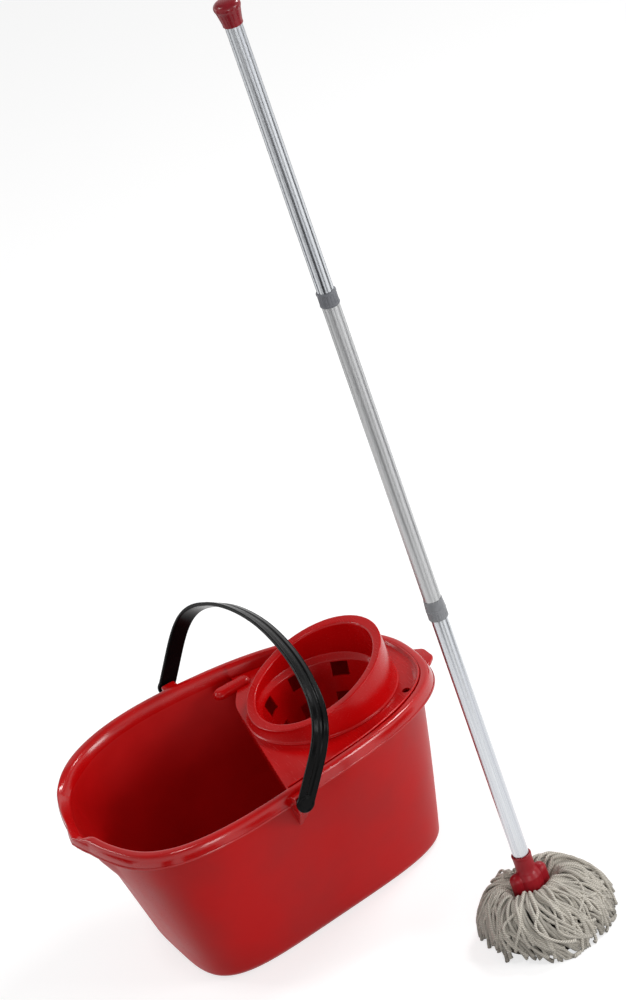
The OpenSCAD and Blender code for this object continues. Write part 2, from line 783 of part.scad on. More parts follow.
module mop_socket() {
    color([0.72, 0.04, 0.06])
        difference() {
            at_mop(hood_bottom)
                union() {
                    cylinder(r = hood_r, h = hood_depth);
                    ears();
                    translate([0, 0, hood_depth - cut])
                        cylinder(r = sleeve_diameter / 2, h = sleeve_length + cut);
                }
            at_mop(hood_bottom - cut)
                cylinder(r = hood_r - hood_wall, h = cavity_top - hood_bottom + cut);
            at_mop(cavity_top - cut)
                cylinder(r = pin_r + collar_fit, h = roof + cut);
            at_mop(lower_bottom - thread_length - cut)
                cylinder(r = thread_r + thread_play, h = thread_length + 2 * cut);
            at_mop(lower_bottom)
                cylinder(r = tube_r + thread_play, h = sleeve_seat + cut);
            for (i = [0:tooth_count - 1])
                at_mop(hood_bottom - cut)
                    rotate([0, 0, (i + 0.5) * 360 / tooth_count])
                        translate([0, -1.5, 0])
                            cube([ear_span, 3, tooth_depth + cut]);
        }
}

module yarn_retainer() {
    color([0.8, 0.8, 0.78])
        at_mop(hood_bottom) {
            cylinder(r = retainer_flange_r, h = retainer_flange);
            cylinder(r = stem_r, h = cavity_top - hood_bottom);
            cylinder(r = pin_r, h = cavity_top - hood_bottom + roof - cut);
        }
}

module yarn_bundle() {
    neck_r = hood_r - hood_wall - yarn_play;
    trough_r = ear_span / 2 + 2;
    trough_z = hood_bottom - yarn_play;
    flange_r = retainer_flange_r + yarn_play;
    color([0.72, 0.67, 0.6])
        at_mop(0)
            rotate_extrude($fn = 72)
                polygon([[0, 0], [yarn_radius - 6, 0], [yarn_radius - 3, yarn_height * 0.05],
                    [yarn_radius, yarn_height * 0.2], [yarn_radius - 1.5, yarn_height * 0.42],
                    [yarn_radius * 0.86, yarn_height * 0.66], [yarn_radius * 0.66, yarn_height * 0.85],
                    [yarn_radius * 0.46, yarn_height * 0.97], [trough_r + 2, yarn_height],
                    [trough_r, yarn_height - 2], [trough_r, trough_z], [neck_r, trough_z],
                    [neck_r, cavity_top - yarn_play], [stem_r + yarn_play, cavity_top - yarn_play],
                    [stem_r + yarn_play, hood_bottom + retainer_flange + yarn_play],
                    [flange_r, hood_bottom + retainer_flange + yarn_play],
                    [flange_r, trough_z], [0, trough_z]]);
}

bucket_shell();
bail_handle();
wringer_deck();
wringer_basket();
end_cap();
upper_tube();
upper_lock_core();
upper_lock_sleeve();
upper_collar();
middle_tube();
lower_collar();
lower_tube();
lower_lock_core();
lower_lock_sleeve();
thread_plug();
mop_socket();
yarn_retainer();
yarn_bundle();
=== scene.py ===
import json
import bpy, bmesh
import numpy as np
from mathutils import Matrix, Vector


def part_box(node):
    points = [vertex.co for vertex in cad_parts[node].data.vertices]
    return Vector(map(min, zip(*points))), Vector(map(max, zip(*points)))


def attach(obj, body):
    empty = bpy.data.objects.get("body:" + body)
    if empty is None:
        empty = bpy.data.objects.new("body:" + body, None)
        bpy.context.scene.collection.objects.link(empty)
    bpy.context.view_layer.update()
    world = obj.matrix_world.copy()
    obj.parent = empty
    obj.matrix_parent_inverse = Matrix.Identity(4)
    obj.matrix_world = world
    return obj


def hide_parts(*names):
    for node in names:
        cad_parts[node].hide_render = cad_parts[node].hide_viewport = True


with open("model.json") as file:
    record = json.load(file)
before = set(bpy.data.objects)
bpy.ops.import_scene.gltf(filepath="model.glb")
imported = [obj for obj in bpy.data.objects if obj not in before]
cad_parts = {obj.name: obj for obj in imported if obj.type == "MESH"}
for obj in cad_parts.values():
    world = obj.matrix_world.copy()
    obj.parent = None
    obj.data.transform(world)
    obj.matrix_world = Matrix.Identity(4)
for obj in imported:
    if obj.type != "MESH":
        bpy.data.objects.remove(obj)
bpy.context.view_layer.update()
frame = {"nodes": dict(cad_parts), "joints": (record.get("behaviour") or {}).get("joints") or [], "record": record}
mm = 0.001  # shapes are worked out in millimetres and made in metres
bodyOf = {node: body for body, nodes in frame["record"]["behaviour"]["bodies"].items() for node in nodes}
print("frame loaded:", len(frame["nodes"]), "nodes")


# camera, light and floor

cameraSettings = {
    "place": (-1.3222, -4.5489, 3.0157),
    "right": (0.8456, -0.4445, -0.2955),
    "up": (0.4584, 0.3211, 0.8287),
    "lens": 180,
    "sensor": 36,
}


def makeCamera(s):
    # the back axis is right x up, and up is squared to it; the three are the matrix's columns
    right = Vector(s["right"]).normalized()
    back = right.cross(Vector(s["up"])).normalized()
    up = back.cross(right)
    data = bpy.data.cameras.new("productCamera")
    data.lens, data.sensor_width, data.clip_end = s["lens"], s["sensor"], 50
    camera = bpy.data.objects.new("productCamera", data)
    camera.matrix_world = Matrix.Translation(s["place"]) @ Matrix((right, up, back)).transposed().to_4x4()
    bpy.context.scene.collection.objects.link(camera)
    bpy.context.scene.camera = camera


lampSettings = {  # name: place, point looked at, width, height, watts
    "keyPanel": ((2.4, -2.6, 1.3), (0.05, -0.1, 0.15), 1.3, 1.2, 44),
    "rightTop": ((1.75, 0.25, 1.95), (0.08, -0.05, 0.2), 0.75, 0.42, 24),
    "leftTop": ((-0.75, 0.05, 2.1), (-0.1, -0.05, 0.2), 0.34, 0.3, 7),
    "frontPanel": ((-0.9, -3.2, 0.9), (0.0, -0.1, 0.2), 0.9, 0.7, 15),
    "edgeStrip": ((-1.7, 1.9, 1.3), (0.0, 0.0, 0.3), 0.2, 1.5, 10),
}


def makeLamps(lamps):
    for name, (place, aim, width, height, watts) in lamps.items():
        data = bpy.data.lights.new(name, "AREA")
        data.shape = "RECTANGLE"
        data.size, data.size_y, data.energy = width, height, watts
        lamp = bpy.data.objects.new(name, data)
        turn = (Vector(place) - Vector(aim)).to_track_quat("Z", "Y")
        lamp.matrix_world = Matrix.Translation(place) @ turn.to_matrix().to_4x4()
        bpy.context.scene.collection.objects.link(lamp)


class Nodes:
    # short way to lay out a node tree: add returns the node, the other calls return its output
    def __init__(self, tree):
        self.tree = tree
        tree.nodes.clear()

    def add(self, kind, settings=None, **inputs):
        node = self.tree.nodes.new("ShaderNode" + kind)
        for key, value in (settings or {}).items():
            setattr(node, key, value)
        for key, value in inputs.items():
            # "a0" is input number 0, anything else is an input's name with _ for a space
            numbered = key[0] == "a" and key[1:].isdigit()
            socket = node.inputs[int(key[1:]) if numbered else key.replace("_", " ")]
            if isinstance(value, bpy.types.NodeSocket):
                self.tree.links.new(value, socket)
            else:
                socket.default_value = value
        return node

    def math(self, operation, *values, clamp=False):
        numbered = {f"a{i}": value for i, value in enumerate(values)}
        return self.add("Math", {"operation": operation, "use_clamp": clamp}, **numbered).outputs[0]

    def noise(self, place, scale, detail, roughness=0.5):
        return self.add("TexNoise", Vector=place, Scale=scale, Detail=detail, Roughness=roughness).outputs[0]

    def spread(self, value, *ends, kind="LINEAR"):
        # ends are the value's lowest and highest, then what they become, 0 and 1 unless given
        numbered = {f"a{i + 1}": end for i, end in enumerate(ends)}
        return self.add("MapRange", {"interpolation_type": kind}, a0=value, **numbered).outputs[0]

    def mixed(self, amount, first, second, blend="MIX"):
        kind = {"data_type": "RGBA", "blend_type": blend}
        return self.add("Mix", kind, a0=amount, a6=first, a7=second).outputs[2]


studio = {"shown": (1.0, 0.2), "given": (0.62, 0.2), "floorSize": 14, "floorPaleness": 0.5, "floorLift": 0.7}


def seenOrMirrored(n):
    # 1 for what the camera sees, straight or in gloss, metal or glass
    path = n.add("LightPath").outputs
    seen = n.math("MAXIMUM", path["Is Camera Ray"], path["Is Glossy Ray"])
    return n.math("MAXIMUM", seen, path["Is Transmission Ray"])


def makeWorld(s):
    # brightness runs from the horizon to the zenith, once as light given, once as seen and mirrored
    world = bpy.data.worlds.new("studioWorld")
    bpy.context.scene.world = world
    world.use_nodes = True
    n = Nodes(world.node_tree)
    up = n.add("SeparateXYZ", Vector=n.add("TexCoord").outputs["Generated"]).outputs["Z"]
    skies = []
    for horizon, zenith in (s["given"], s["shown"]):
        level = n.spread(up, 0.05, 0.8, horizon, zenith, kind="SMOOTHSTEP")
        skies.append(n.add("Background", Color=(1, 1, 1, 1), Strength=level).outputs[0])
    mixture = n.add("MixShader", Fac=seenOrMirrored(n), a1=skies[0], a2=skies[1])
    n.add("OutputWorld", Surface=mixture.outputs[0])


def newMaterial(name):
    material = bpy.data.materials.new(name)
    material.use_nodes = True
    return material, Nodes(material.node_tree)


def stagePiece(name, points, faces, material):
    mesh = bpy.data.meshes.new(name)
    mesh.from_pydata(points, [], faces)
    mesh.materials.append(material)
    piece = bpy.data.objects.new(name, mesh)
    bpy.context.scene.collection.objects.link(piece)
    return piece


def makeFloor(s):
    material, n = newMaterial("paleFloor")
    glow = n.math("MULTIPLY", seenOrMirrored(n), s["floorLift"])
    diffuse = n.add("BsdfDiffuse", Color=(s["floorPaleness"],) * 3 + (1,))
    emission = n.add("Emission", Color=(1, 1, 1, 1), Strength=glow)
    both = n.add("AddShader", a0=diffuse.outputs[0], a1=emission.outputs[0])
    n.add("OutputMaterial", Surface=both.outputs[0])
    e = s["floorSize"]
    stagePiece("studioFloor", [(-e, -e, 0), (e, -e, 0), (e, e, 0), (-e, e, 0)], [(0, 1, 2, 3)], material)


flags = {  # dark cards that lie round the set and show only in gloss and metal
    "paleness": 0.06, "near": 0.9, "far": 7.0, "lift": 0.002,
    # direction and half width of each
    "wedges": ((-118, 15), (-80, 7), (-30, 12), (35, 9), (95, 16), (160, 10), (-150, 6)),
}


def makeFlags(f):
    material, n = newMaterial("darkCard")
    n.add("OutputMaterial", Surface=n.add("BsdfDiffuse", Color=(f["paleness"],) * 3 + (1,)).outputs[0])
    points, faces = [], []
    for direction, half in f["wedges"]:
        for turn, reach in ((-half, f["near"]), (-half, f["far"]), (half, f["far"]), (half, f["near"])):
            a = np.radians(direction + turn)
            points.append((reach * np.cos(a), reach * np.sin(a), f["lift"]))
        faces.append(tuple(range(len(points) - 4, len(points))))
    cards = stagePiece("darkCards", points, faces, material)
    cards.visible_camera = cards.visible_diffuse = cards.visible_shadow = cards.visible_transmission = False


makeCamera(cameraSettings)
makeLamps(lampSettings)
makeWorld(studio)
makeFloor(studio)
makeFlags(flags)
bpy.context.scene.view_settings.view_transform = "Standard"
print("camera, lamps and floor set")


# materials

def scratches(n, place, turn):
    # noise stretched a long way in one direction, cut to its thinnest crests
    long = n.add("Mapping", Vector=place, Rotation=turn, Scale=(900, 60, 900)).outputs[0]
    return n.spread(n.noise(long, 1.0, 2.0, 0.4), 0.66, 0.74, 0.0, 0.12)


def plastic(name, colour, rough, specular=0.5, cloud=14, grain=1400, bump=0.12):
    # moulded plastic: colour drifts a little, roughness is cloudy and scuffed, the skin is finely grained
    material, n = newMaterial(name)
    place = n.add("TexCoord").outputs["Object"]
    cloudy = n.noise(place, cloud, 4.0)
    dark = tuple(c * 0.86 for c in colour)
    tint = n.mixed(n.spread(cloudy, 0.35, 0.65), dark + (1,), colour + (1,))
    level = n.spread(cloudy, 0.3, 0.7, *rough)
    for turn in ((0.3, 0.9, 0.5), (1.2, 0.2, 2.1)):
        level = n.math("ADD", level, scratches(n, place, turn), clamp=True)
    skin = n.add("Bump", Height=n.noise(place, grain, 3.0), Strength=bump, Distance=0.0004)
    swell = n.noise(place, 34, 1.0)
    wavy = n.add("Bump", Height=swell, Strength=0.12, Distance=0.0012, Normal=skin.outputs[0])
    shader = n.add("BsdfPrincipled", Base_Color=tint, Roughness=level, Normal=wavy.outputs[0],
                   Specular_IOR_Level=specular)
    n.add("OutputMaterial", Surface=shader.outputs[0])
    return material


def tubeMetal(name, colour, dark, metal, rough, streak, bump):
    # drawn tube: long streaks along the length in colour and roughness; the colour streaks are partly drawn marks
    # and partly painted reflection
    material, n = newMaterial(name)
    place = n.add("TexCoord").outputs["Object"]
    long = n.noise(n.add("Mapping", Vector=place, Scale=streak).outputs[0], 1.0, 5.0, 0.55)
    # colour streaks: partly drawn-tube marks, partly painted reflection streaks
    tint = n.mixed(n.spread(long, 0.34, 0.66), dark + (1,), colour + (1,))
    level = n.math("MULTIPLY_ADD", n.noise(place, 26.0, 3.0), 0.08, n.spread(long, 0.3, 0.7, *rough))
    ridges = n.add("Bump", Height=long, Strength=bump, Distance=0.0002)
    shader = n.add("BsdfPrincipled", Base_Color=tint, Roughness=level, Normal=ridges.outputs[0],
                   Metallic=metal)
    n.add("OutputMaterial", Surface=shader.outputs[0])
    return material


def cottonYarn(name, turns, plies, cool, warm, groove):
    # plied cord: slanting plies along u and round v of the strand's own map, fuzzy fibre noise over them; the
    # grooves between the plies get the groove colour, which is painted shade
    material, n = newMaterial(name)
    parts = n.add("SeparateXYZ", Vector=n.add("UVMap", {"uv_map": "strandMap"}).outputs[0]).outputs
    turn = n.math("MULTIPLY_ADD", parts[0], turns, parts[1])
    ridge = n.math("SINE", n.math("MULTIPLY", turn, plies * 2 * np.pi))
    place = n.add("TexCoord").outputs["Object"]
    body = n.mixed(n.noise(place, 22.0, 3.0), cool + (1,), warm + (1,))
    # the strand's random tone times its painted shade
    body = n.mixed(1.0, body, n.add("VertexColor", {"layer_name": "strandToneAndShade"}).outputs[0], "MULTIPLY")
    # painted shade: the groove colour darkens the cord where the plies meet
    tint = n.mixed(n.spread(ridge, -1.0, 0.3), groove + (1,), body)
    height = n.math("MULTIPLY_ADD", n.noise(place, 900.0, 4.0, 0.7), 0.8, ridge)
    fibres = n.add("Bump", Height=height, Strength=0.5, Distance=0.0005)
    shader = n.add("BsdfPrincipled", Base_Color=tint, Roughness=0.95, Normal=fibres.outputs[0],
                   Specular_IOR_Level=0.15, Sheen_Weight=0.25, Sheen_Roughness=0.5)
    n.add("OutputMaterial", Surface=shader.outputs[0])
    return material


redWall = plastic("redWall", (0.53, 0.0022, 0.0026), (0.36, 0.46), 0.22, grain=900, bump=0.10)
redBead = plastic("redBead", (0.54, 0.0016, 0.0022), (0.14, 0.2), 0.55, bump=0.04)
redWringer = plastic("redWringer", (0.55, 0.0016, 0.0024), (0.20, 0.28), 0.32, bump=0.05)
redCap = plastic("redCap", (0.27, 0.010, 0.018), (0.2, 0.34), 0.35, cloud=90, bump=0.08)
redSocket = plastic("redSocket", (0.34, 0.006, 0.014), (0.26, 0.4), 0.3, cloud=60, bump=0.1)
blackStrap = plastic("blackStrap", (0.002, 0.002, 0.0022), (0.18, 0.28), 0.09, cloud=40, bump=0.08)
darkCollar = plastic("darkCollar", (0.19, 0.195, 0.215), (0.38, 0.5), 0.35, cloud=120)
greyCollar = plastic("greyCollar", (0.28, 0.285, 0.30), (0.34, 0.46), 0.35, cloud=120)
lockPlastic = plastic("lockPlastic", (0.05, 0.05, 0.05), (0.45, 0.6))
lockSleeve = plastic("lockSleeve", (0.75, 0.74, 0.68), (0.4, 0.5))
# dark is the colour of the streaks, partly painted reflection
brightTube = tubeMetal("brightTube", (0.74, 0.76, 0.78), (0.5, 0.52, 0.56), metal=1.0, rough=(0.16, 0.3),
                       streak=(420, 420, 3), bump=0.15)
greyTube = tubeMetal("greyTube", (0.60, 0.605, 0.61), (0.52, 0.525, 0.53), metal=0.85, rough=(0.27, 0.36),
                     streak=(300, 300, 5), bump=0.1)
# groove is a painted shade colour for the gaps between the plies
yarnCotton = cottonYarn("yarnCotton", turns=13.0, plies=3, cool=(0.62, 0.585, 0.52), warm=(0.73, 0.69, 0.62),
                        groove=(0.42, 0.385, 0.33))
# painted shade: a dark core under the strands that darkens the gaps between them
yarnShade = plastic("yarnShade", (0.12, 0.105, 0.085), (0.9, 0.98), 0.05, cloud=300)
print("materials made")


# shapes shared by the pieces

def mix(a, b, t):
    return a + (b - a) * t


def ease(t):
    # 3t^2 - 2t^3, held at 0 below 0 and at 1 above 1
    t = np.clip(t, 0, 1)
    return t * t * (3 - 2 * t)


def roundCircle(count):
    return np.arange(count) / count * 2 * np.pi


def gridQuads(rows, cols, wrapRows=False):
    # cell (i, j) becomes the quad of its four corners, numbered row by row
    i = np.arange(rows if wrapRows else rows - 1)[:, None]
    j = np.arange(cols)[None, :]
    row, ahead = i * cols, (i + 1) % rows * cols
    nextCol = (j + 1) % cols
    corners = np.broadcast_arrays(row + j, row + nextCol, ahead + nextCol, ahead + j)
    return np.stack(corners, -1).reshape(-1, 4)


def standFor(piece, node):
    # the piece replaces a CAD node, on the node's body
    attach(piece, bodyOf[node])
    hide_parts(node)
    return piece


def makeMesh(name, points, faces, looks, closed=True, sharp=50, faceLook=None):
    # doubles are merged, and a closed surface that encloses a negative volume is turned round
    mesh = bpy.data.meshes.new(name)
    mesh.from_pydata((np.asarray(points, float).reshape(-1, 3) * mm).tolist(), [], np.asarray(faces).tolist())
    for look in looks if isinstance(looks, list) else [looks]:
        mesh.materials.append(look)
    if faceLook is not None:
        mesh.polygons.foreach_set("material_index", np.asarray(faceLook, np.int32))
    work = bmesh.new()
    work.from_mesh(mesh)
    bmesh.ops.remove_doubles(work, verts=work.verts, dist=2e-6)
    if closed and work.calc_volume(signed=True) < 0:
        bmesh.ops.reverse_faces(work, faces=work.faces)
    work.to_mesh(mesh)
    work.free()
    mesh.polygons.foreach_set("use_smooth", np.ones(len(mesh.polygons), bool))
    mesh.set_sharp_from_angle(angle=np.radians(sharp))
    piece = bpy.data.objects.new(name, mesh)
    bpy.context.scene.collection.objects.link(piece)
    return piece


def gridPiece(name, rings, looks, node, wrapRows=False, **more):
    # rings are an array (row, column, xyz)
    return standFor(makeMesh(name, rings, gridQuads(*rings.shape[:2], wrapRows), looks, **more), node)


def bothSides(name, rings, looks, node, **more):
    for side, turn in (("Rear", 1), ("Front", -1)):
        gridPiece(name + side, rings * np.array([1, turn, 1]), looks, node, **more)


def closeEnds(rings):
    # a ring drawn together in its own middle is put before the first ring and after the last
    ends = [np.repeat(ring.mean(1, keepdims=True), rings.shape[1], 1) for ring in (rings[:1], rings[-1:])]
    return np.concatenate([ends[0], rings, ends[1]])


def softCorners(corners, radius, steps=4, wrap=False):
    # each corner becomes a small curve from a point before it to a point after it, both at most radius away:
    # (1 - t)^2 start + 2t (1 - t) corner + t^2 end
    c = np.asarray(corners, float)
    radius = np.broadcast_to(np.asarray(radius, float), len(c))[:, None]
    before, after = np.roll(c, 1, 0) - c, np.roll(c, -1, 0) - c
    if not wrap:
        before[0], after[-1] = 0, 0
    reach = [np.linalg.norm(v, axis=1, keepdims=True) for v in (before, after)]
    start = c + before / np.maximum(reach[0], 1e-9) * np.minimum(radius, reach[0] * 0.48)
    end = c + after / np.maximum(reach[1], 1e-9) * np.minimum(radius, reach[1] * 0.48)
    t = np.linspace(0, 1, steps)[None, :, None]
    curve = (1 - t) ** 2 * start[:, None] + 2 * t * (1 - t) * c[:, None] + t ** 2 * end[:, None]
    if not wrap:
        curve = np.concatenate([c[None, :1], curve[1:-1].reshape(1, -1, c.shape[1]), c[None, -1:]], 1)
    return curve.reshape(-1, c.shape[1])


def evenly(line, count):
    # count points at even steps of the line's own numbering
    run = np.linspace(0, len(line) - 1, count)
    return np.stack([np.interp(run, np.arange(len(line)), line[:, i]) for i in range(line.shape[1])], -1)


def roundAbout(centre, r, a, z):
    # centre + r (cos a, sin a), at height z
    return np.stack(np.broadcast_arrays(centre[0] + r * np.cos(a), centre[1] + r * np.sin(a), z), -1)


def turned(profile, centre, count=96):
    # the profile (radius, height) is carried round the upright axis at centre
    p = np.asarray(profile, float)
    return roundAbout(centre, p[:, :1], roundCircle(count), p[:, 1:])


def roundedSlab(outline, low, high, roundLow, roundHigh, steps=6):
    # the outline is stacked from low to high, and drawn in along quarter circles at both faces
    o = np.asarray(outline, float)
    ahead, back = np.roll(o, -1, 0), np.roll(o, 1, 0)
    run = ahead - back
    normal = np.stack([run[:, 1], -run[:, 0]], 1) / np.linalg.norm(run, axis=1, keepdims=True)
    if np.sum(o[:, 0] * ahead[:, 1] - ahead[:, 0] * o[:, 1]) < 0:
        normal = -normal
    q = np.linspace(0, np.pi / 2, steps)
    inset = np.concatenate([roundLow * (1 - np.sin(q)), roundHigh * (1 - np.cos(q))])
    height = np.concatenate([low + roundLow * (1 - np.cos(q)), high - roundHigh * (1 - np.sin(q))])
    flat = o[None] - normal[None] * inset[:, None, None]
    return closeEnds(np.concatenate([flat, np.repeat(height[:, None, None], len(o), 1)], -1))


# bucket

bucket = {
    "length": 440, "width": 317, "squareness": 2.6, "egg": 0.175,  # rim, seen from above
    "height": 217, "drop": 14,  # crest at the middle, and how far the two ends lie lower
    "baseLength": 322, "baseWidth": 193, "baseSquareness": 4.2, "baseEgg": 0.215, "baseShift": 2.8,
    "baseRadius": 11, "wall": 2.6, "floor": 3,
    "bead": 17.6, "skirt": 14.3, "skirtWall": 2.2, "hem": 0.7,  # rolled rim and the hem under its skirt
    "spoutReach": 5, "spoutWidth": 150, "spoutMouth": 86, "spoutSide": 51, "spoutDip": 4, "spoutRamp": 12,
    "spoutFlare": 8, "spoutSkirt": 8, "spoutDraw": 4, "spoutLip": 4.5, "tipWidth": 62, "tipSide": 5,
    "around": 360, "crowding": 25,
}
rimA, rimB = bucket["length"] / 2, bucket["width"] / 2
wallInset = bucket["bead"] - bucket["wall"]
wallTop = bucket["height"] - bucket["skirt"]


def planPoint(w, a, b, n, egg, shift=0):
    # superellipse |x/a|^n + |y/b|^n = 1 in direction w, its width scaled by 1 - egg x / a
    r = (np.abs(np.cos(w) / a) ** n + np.abs(np.sin(w) / b) ** n) ** (-1 / n)
    x = r * np.cos(w)
    return x + shift, r * np.sin(w) * (1 - egg * x / a)


def rimRings(rows, w):
    # a row is [a, b, squareness, egg, shift, z, arch, push, fall, tip]; in the spout, which fades in over its
    # width, a point is pushed out and let down, and drawn to a tip in the middle
    g = np.asarray(rows, float)[:, :, None]
    x, y = planPoint(w[None], g[:, 0], g[:, 1], g[:, 2], g[:, 3], g[:, 4])
    half, mouth = bucket["spoutWidth"] / 2, bucket["spoutMouth"] / 2
    spout = x < 0
    k = spout * ease((half - np.abs(y - bucket["spoutSide"])) / (half - mouth))
    v = spout * np.maximum(0, 1 - np.abs(y - bucket["tipSide"]) / (bucket["tipWidth"] / 2))
    draw = spout * bucket["spoutDraw"] * g[:, 6] * ease(np.abs(y) / half) * ease(2 - np.abs(y) / half)
    z = g[:, 5] - g[:, 6] * bucket["drop"] * (x / rimA) ** 2 - g[:, 8] * k
    return np.stack([x + draw - g[:, 7] * k - bucket["spoutReach"] * g[:, 9] * v, y, z], -1)


def wallRow(z, inset):
    # ring on the wall at height z, between the base's outline and the rim's
    b, h = bucket, z / wallTop
    flare = b["spoutFlare"] * ease((h - 0.6) / 0.26)
    return [mix(b["baseLength"] / 2, rimA - wallInset, h) - inset,
            mix(b["baseWidth"] / 2, rimB - wallInset, h) - inset,
            mix(b["baseSquareness"], b["squareness"], h), mix(b["baseEgg"], b["egg"], h),
            b["baseShift"] * (1 - h), z, h, flare, 0, 0]


def beadRow(p, q):
    # ring on the bead: p is [inset from the rim's edge, depth below the crest], q the same in the spout
    b = bucket
    return [rimA - p[0], rimB - p[0], b["squareness"], b["egg"], 0, b["height"] - p[1], 1,
            p[0] - q[0], q[1] - p[1], max(0, 1 - q[0] / b["bead"])]


def beadTop(s):
    # a hump over the bead's width, steeper outside (s = 0) than inside (s = 1)
    return [s * bucket["bead"], bucket["skirt"] * abs(2 * s - 1) ** (5 if s < 0.5 else 3)]


def lipTop(s):
    # the same points in the spout: a thin edge, then a ramp down into the bucket
    if s < 0.25:
        return [1.2 * (s / 0.25) ** 2, bucket["spoutDip"] + bucket["spoutSkirt"] * (1 - s / 0.25) ** 3]
    q = ((s - 0.25) / 0.75) ** 1.4
    return [mix(1.2, bucket["bead"] - bucket["spoutFlare"], q), bucket["spoutDip"] + bucket["spoutRamp"] * q]


def beadUnder(s):
    b, edge = bucket, bucket["skirtWall"]
    return [mix(edge, wallInset, s), edge + (b["skirt"] - edge) * abs(2 * s - 1) ** 5]


def lipUnder(s):
    b, edge = bucket, bucket["skirtWall"]
    if s == 0:
        return [edge, b["spoutDip"] + b["spoutSkirt"]]
    return [mix(edge, wallInset - b["spoutFlare"] / 2, s), b["spoutDip"] + b["spoutLip"] + b["spoutRamp"] * s]


def hemRows():
    # the skirt's lower edge rolls out a little before the bead starts
    low, lip, hem = beadTop(0), lipTop(0), bucket["hem"]
    return [beadRow([low[0] + out * hem, low[1] - up], [lip[0] + out * hem, lip[1] - up * 0.6])
            for out, up in ((-0.3, 0.0), (-1.0, 0.35), (-1.0, 1.2), (-0.35, 2.1))]


def makeBucketShell():
    b = bucket
    turns = np.radians([0, 10, 20, 32, 45, 58, 70, 80, 90])
    outer = [wallRow(b["baseRadius"] * (1 - np.cos(q)), b["baseRadius"] * (1 - np.sin(q))) for q in turns]
    outer += [wallRow(h * wallTop, 0) for h in np.linspace(0.1, 0.97, 16)]
    under = [beadRow(beadUnder(s), lipUnder(s)) for s in (1, 0.96, 0.9, 0.75, 0.5, 0.25, 0.12, 0.05, 0)]
    steps = np.concatenate([[0.012, 0.03, 0.055], np.linspace(0.09, 0.94, 24), [0.97, 1.0]])
    top = hemRows() + [beadRow(beadTop(s), lipTop(s)) for s in steps]
    inner = [wallRow(h * wallTop, b["wall"]) for h in np.linspace(0.97, 0.1, 16)]
    r = b["baseRadius"] - b["wall"]
    inner += [wallRow(b["floor"] + r * (1 - np.cos(q)), b["wall"] + r * (1 - np.sin(q))) for q in turns[::-1]]
    u = roundCircle(b["around"])
    rings = closeEnds(rimRings(outer + under + top + inner, u + np.radians(b["crowding"]) * np.sin(u)))
    bead = np.zeros((len(rings) - 1, b["around"]), int)
    bead[len(outer):len(outer) + len(under) + len(top)] = 1
    gridPiece("bucketShell", rings, [redWall, redBead], "bucket_shell", sharp=60, faceLook=bead.ravel())


pivot = np.array(next(j for j in frame["joints"] if j["name"] == "bail_swing")["pos_m"], float) / mm
pivotBlock = {
    "width": 17, "tip": 4, "stand": 10.5, "straight": 12, "drop": 47, "corner": 2.2,
    "bore": 5.0, "boreDepth": 14, "countersink": 0.8, "around": 96,
}


def rimHalf(x):
    # half the rim's width at x
    n = bucket["squareness"]
    return rimB * (1 - (abs(x) / rimA) ** n) ** (1 / n) * (1 - bucket["egg"] * x / rimA)


def wallAt(z):
    # the wall's outer face beside the pivot, at height z
    return mix(bucket["baseWidth"] / 2, rimB - wallInset, z / wallTop) * rimHalf(pivot[0]) / rimB


def makePivotBlocks():
    # a shield's outline, straight and then narrowing to its tip, is carried from inside the wall out to the
    # face; each point goes no further than the face, which falls back to the wall below the straight part,
    # and no higher than the bead's inner slope; the last rings draw into the round bore
    p, y0 = pivotBlock, rimHalf(pivot[0])
    face, half, tip = y0 + p["stand"], p["width"] / 2, p["tip"] / 2
    top, bend, low = bucket["height"] - bucket["skirt"] * 0.2, pivot[2] - p["straight"], pivot[2] - p["drop"]
    shield = softCorners([[-tip, low], [tip, low], [half, bend], [half, top], [-half, top], [-half, bend]],
                         [1.5, 1.5, 5, p["corner"], p["corner"], 5], 6, wrap=True)
    shield = evenly(np.append(shield, shield[:1], 0), p["around"] + 1)[:-1]
    out = shield - np.array([0, pivot[2]])

    def shieldRing(share, inset=0.0):
        # share 0 is inside the wall and 1 at the face
        flat = shield - out / np.linalg.norm(out, axis=1, keepdims=True) * inset
        x, z = flat[:, 0], np.minimum(flat[:, 1], top - (1 - share) * 2.2)
        front = np.interp(z, [low, bend], [wallAt(low) + 1.3, face])
        back = np.interp(z, [low, wallTop, top], [wallAt(low) - 1, wallAt(wallTop) - 1, y0 - wallInset * 0.3])
        return np.stack([pivot[0] + x, mix(back, front, share), z], -1)

    def boreRing(y, radius):
        a = np.arctan2(out[:, 1], out[:, 0])
        across, up = pivot[0] + radius * np.cos(a), pivot[2] + radius * np.sin(a)
        return np.stack([across, np.full_like(a, y), up], -1)

    rings = [shieldRing(s) for s in np.linspace(0, 0.9, 6)]
    rings += [shieldRing(1 - 0.1 * (1 - np.sin(q)), 1.4 * (1 - np.cos(q))) for q in np.radians([30, 60, 90])]
    rings += [shieldRing(1, 2.2), boreRing(face, p["bore"] + p["countersink"]),
              boreRing(face - p["countersink"], p["bore"]), boreRing(face - p["boreDepth"], p["bore"])]
    bothSides("pivotBlock", closeEnds(np.array(rings)), redBead, "bucket_shell", sharp=40)


pourGrip = {"width": 46, "side": 6, "reach": 11, "thickness": 4, "round": 1.2, "corner": 4}


def makePourGrip():
    p, root = pourGrip, rimA - bucket["bead"]
    half, quarter, out = p["width"] / 2, p["width"] / 4, rimA + p["reach"]
    outline = softCorners([[root, -half], [rimA, -half], [out, -quarter], [out, quarter], [rimA, half],
                           [root, half]], p["corner"], 8, wrap=True) - np.array([0, p["side"]])
    low = bucket["height"] - bucket["drop"] - bucket["skirt"]
    rings = roundedSlab(outline, low, low + p["thickness"], p["round"], p["round"])
    gridPiece("pourGrip", rings, redBead, "bucket_shell", sharp=60)


dripRib = {"width": 6, "length": 8.8, "height": 10, "round": 1.0, "corner": 1.5}


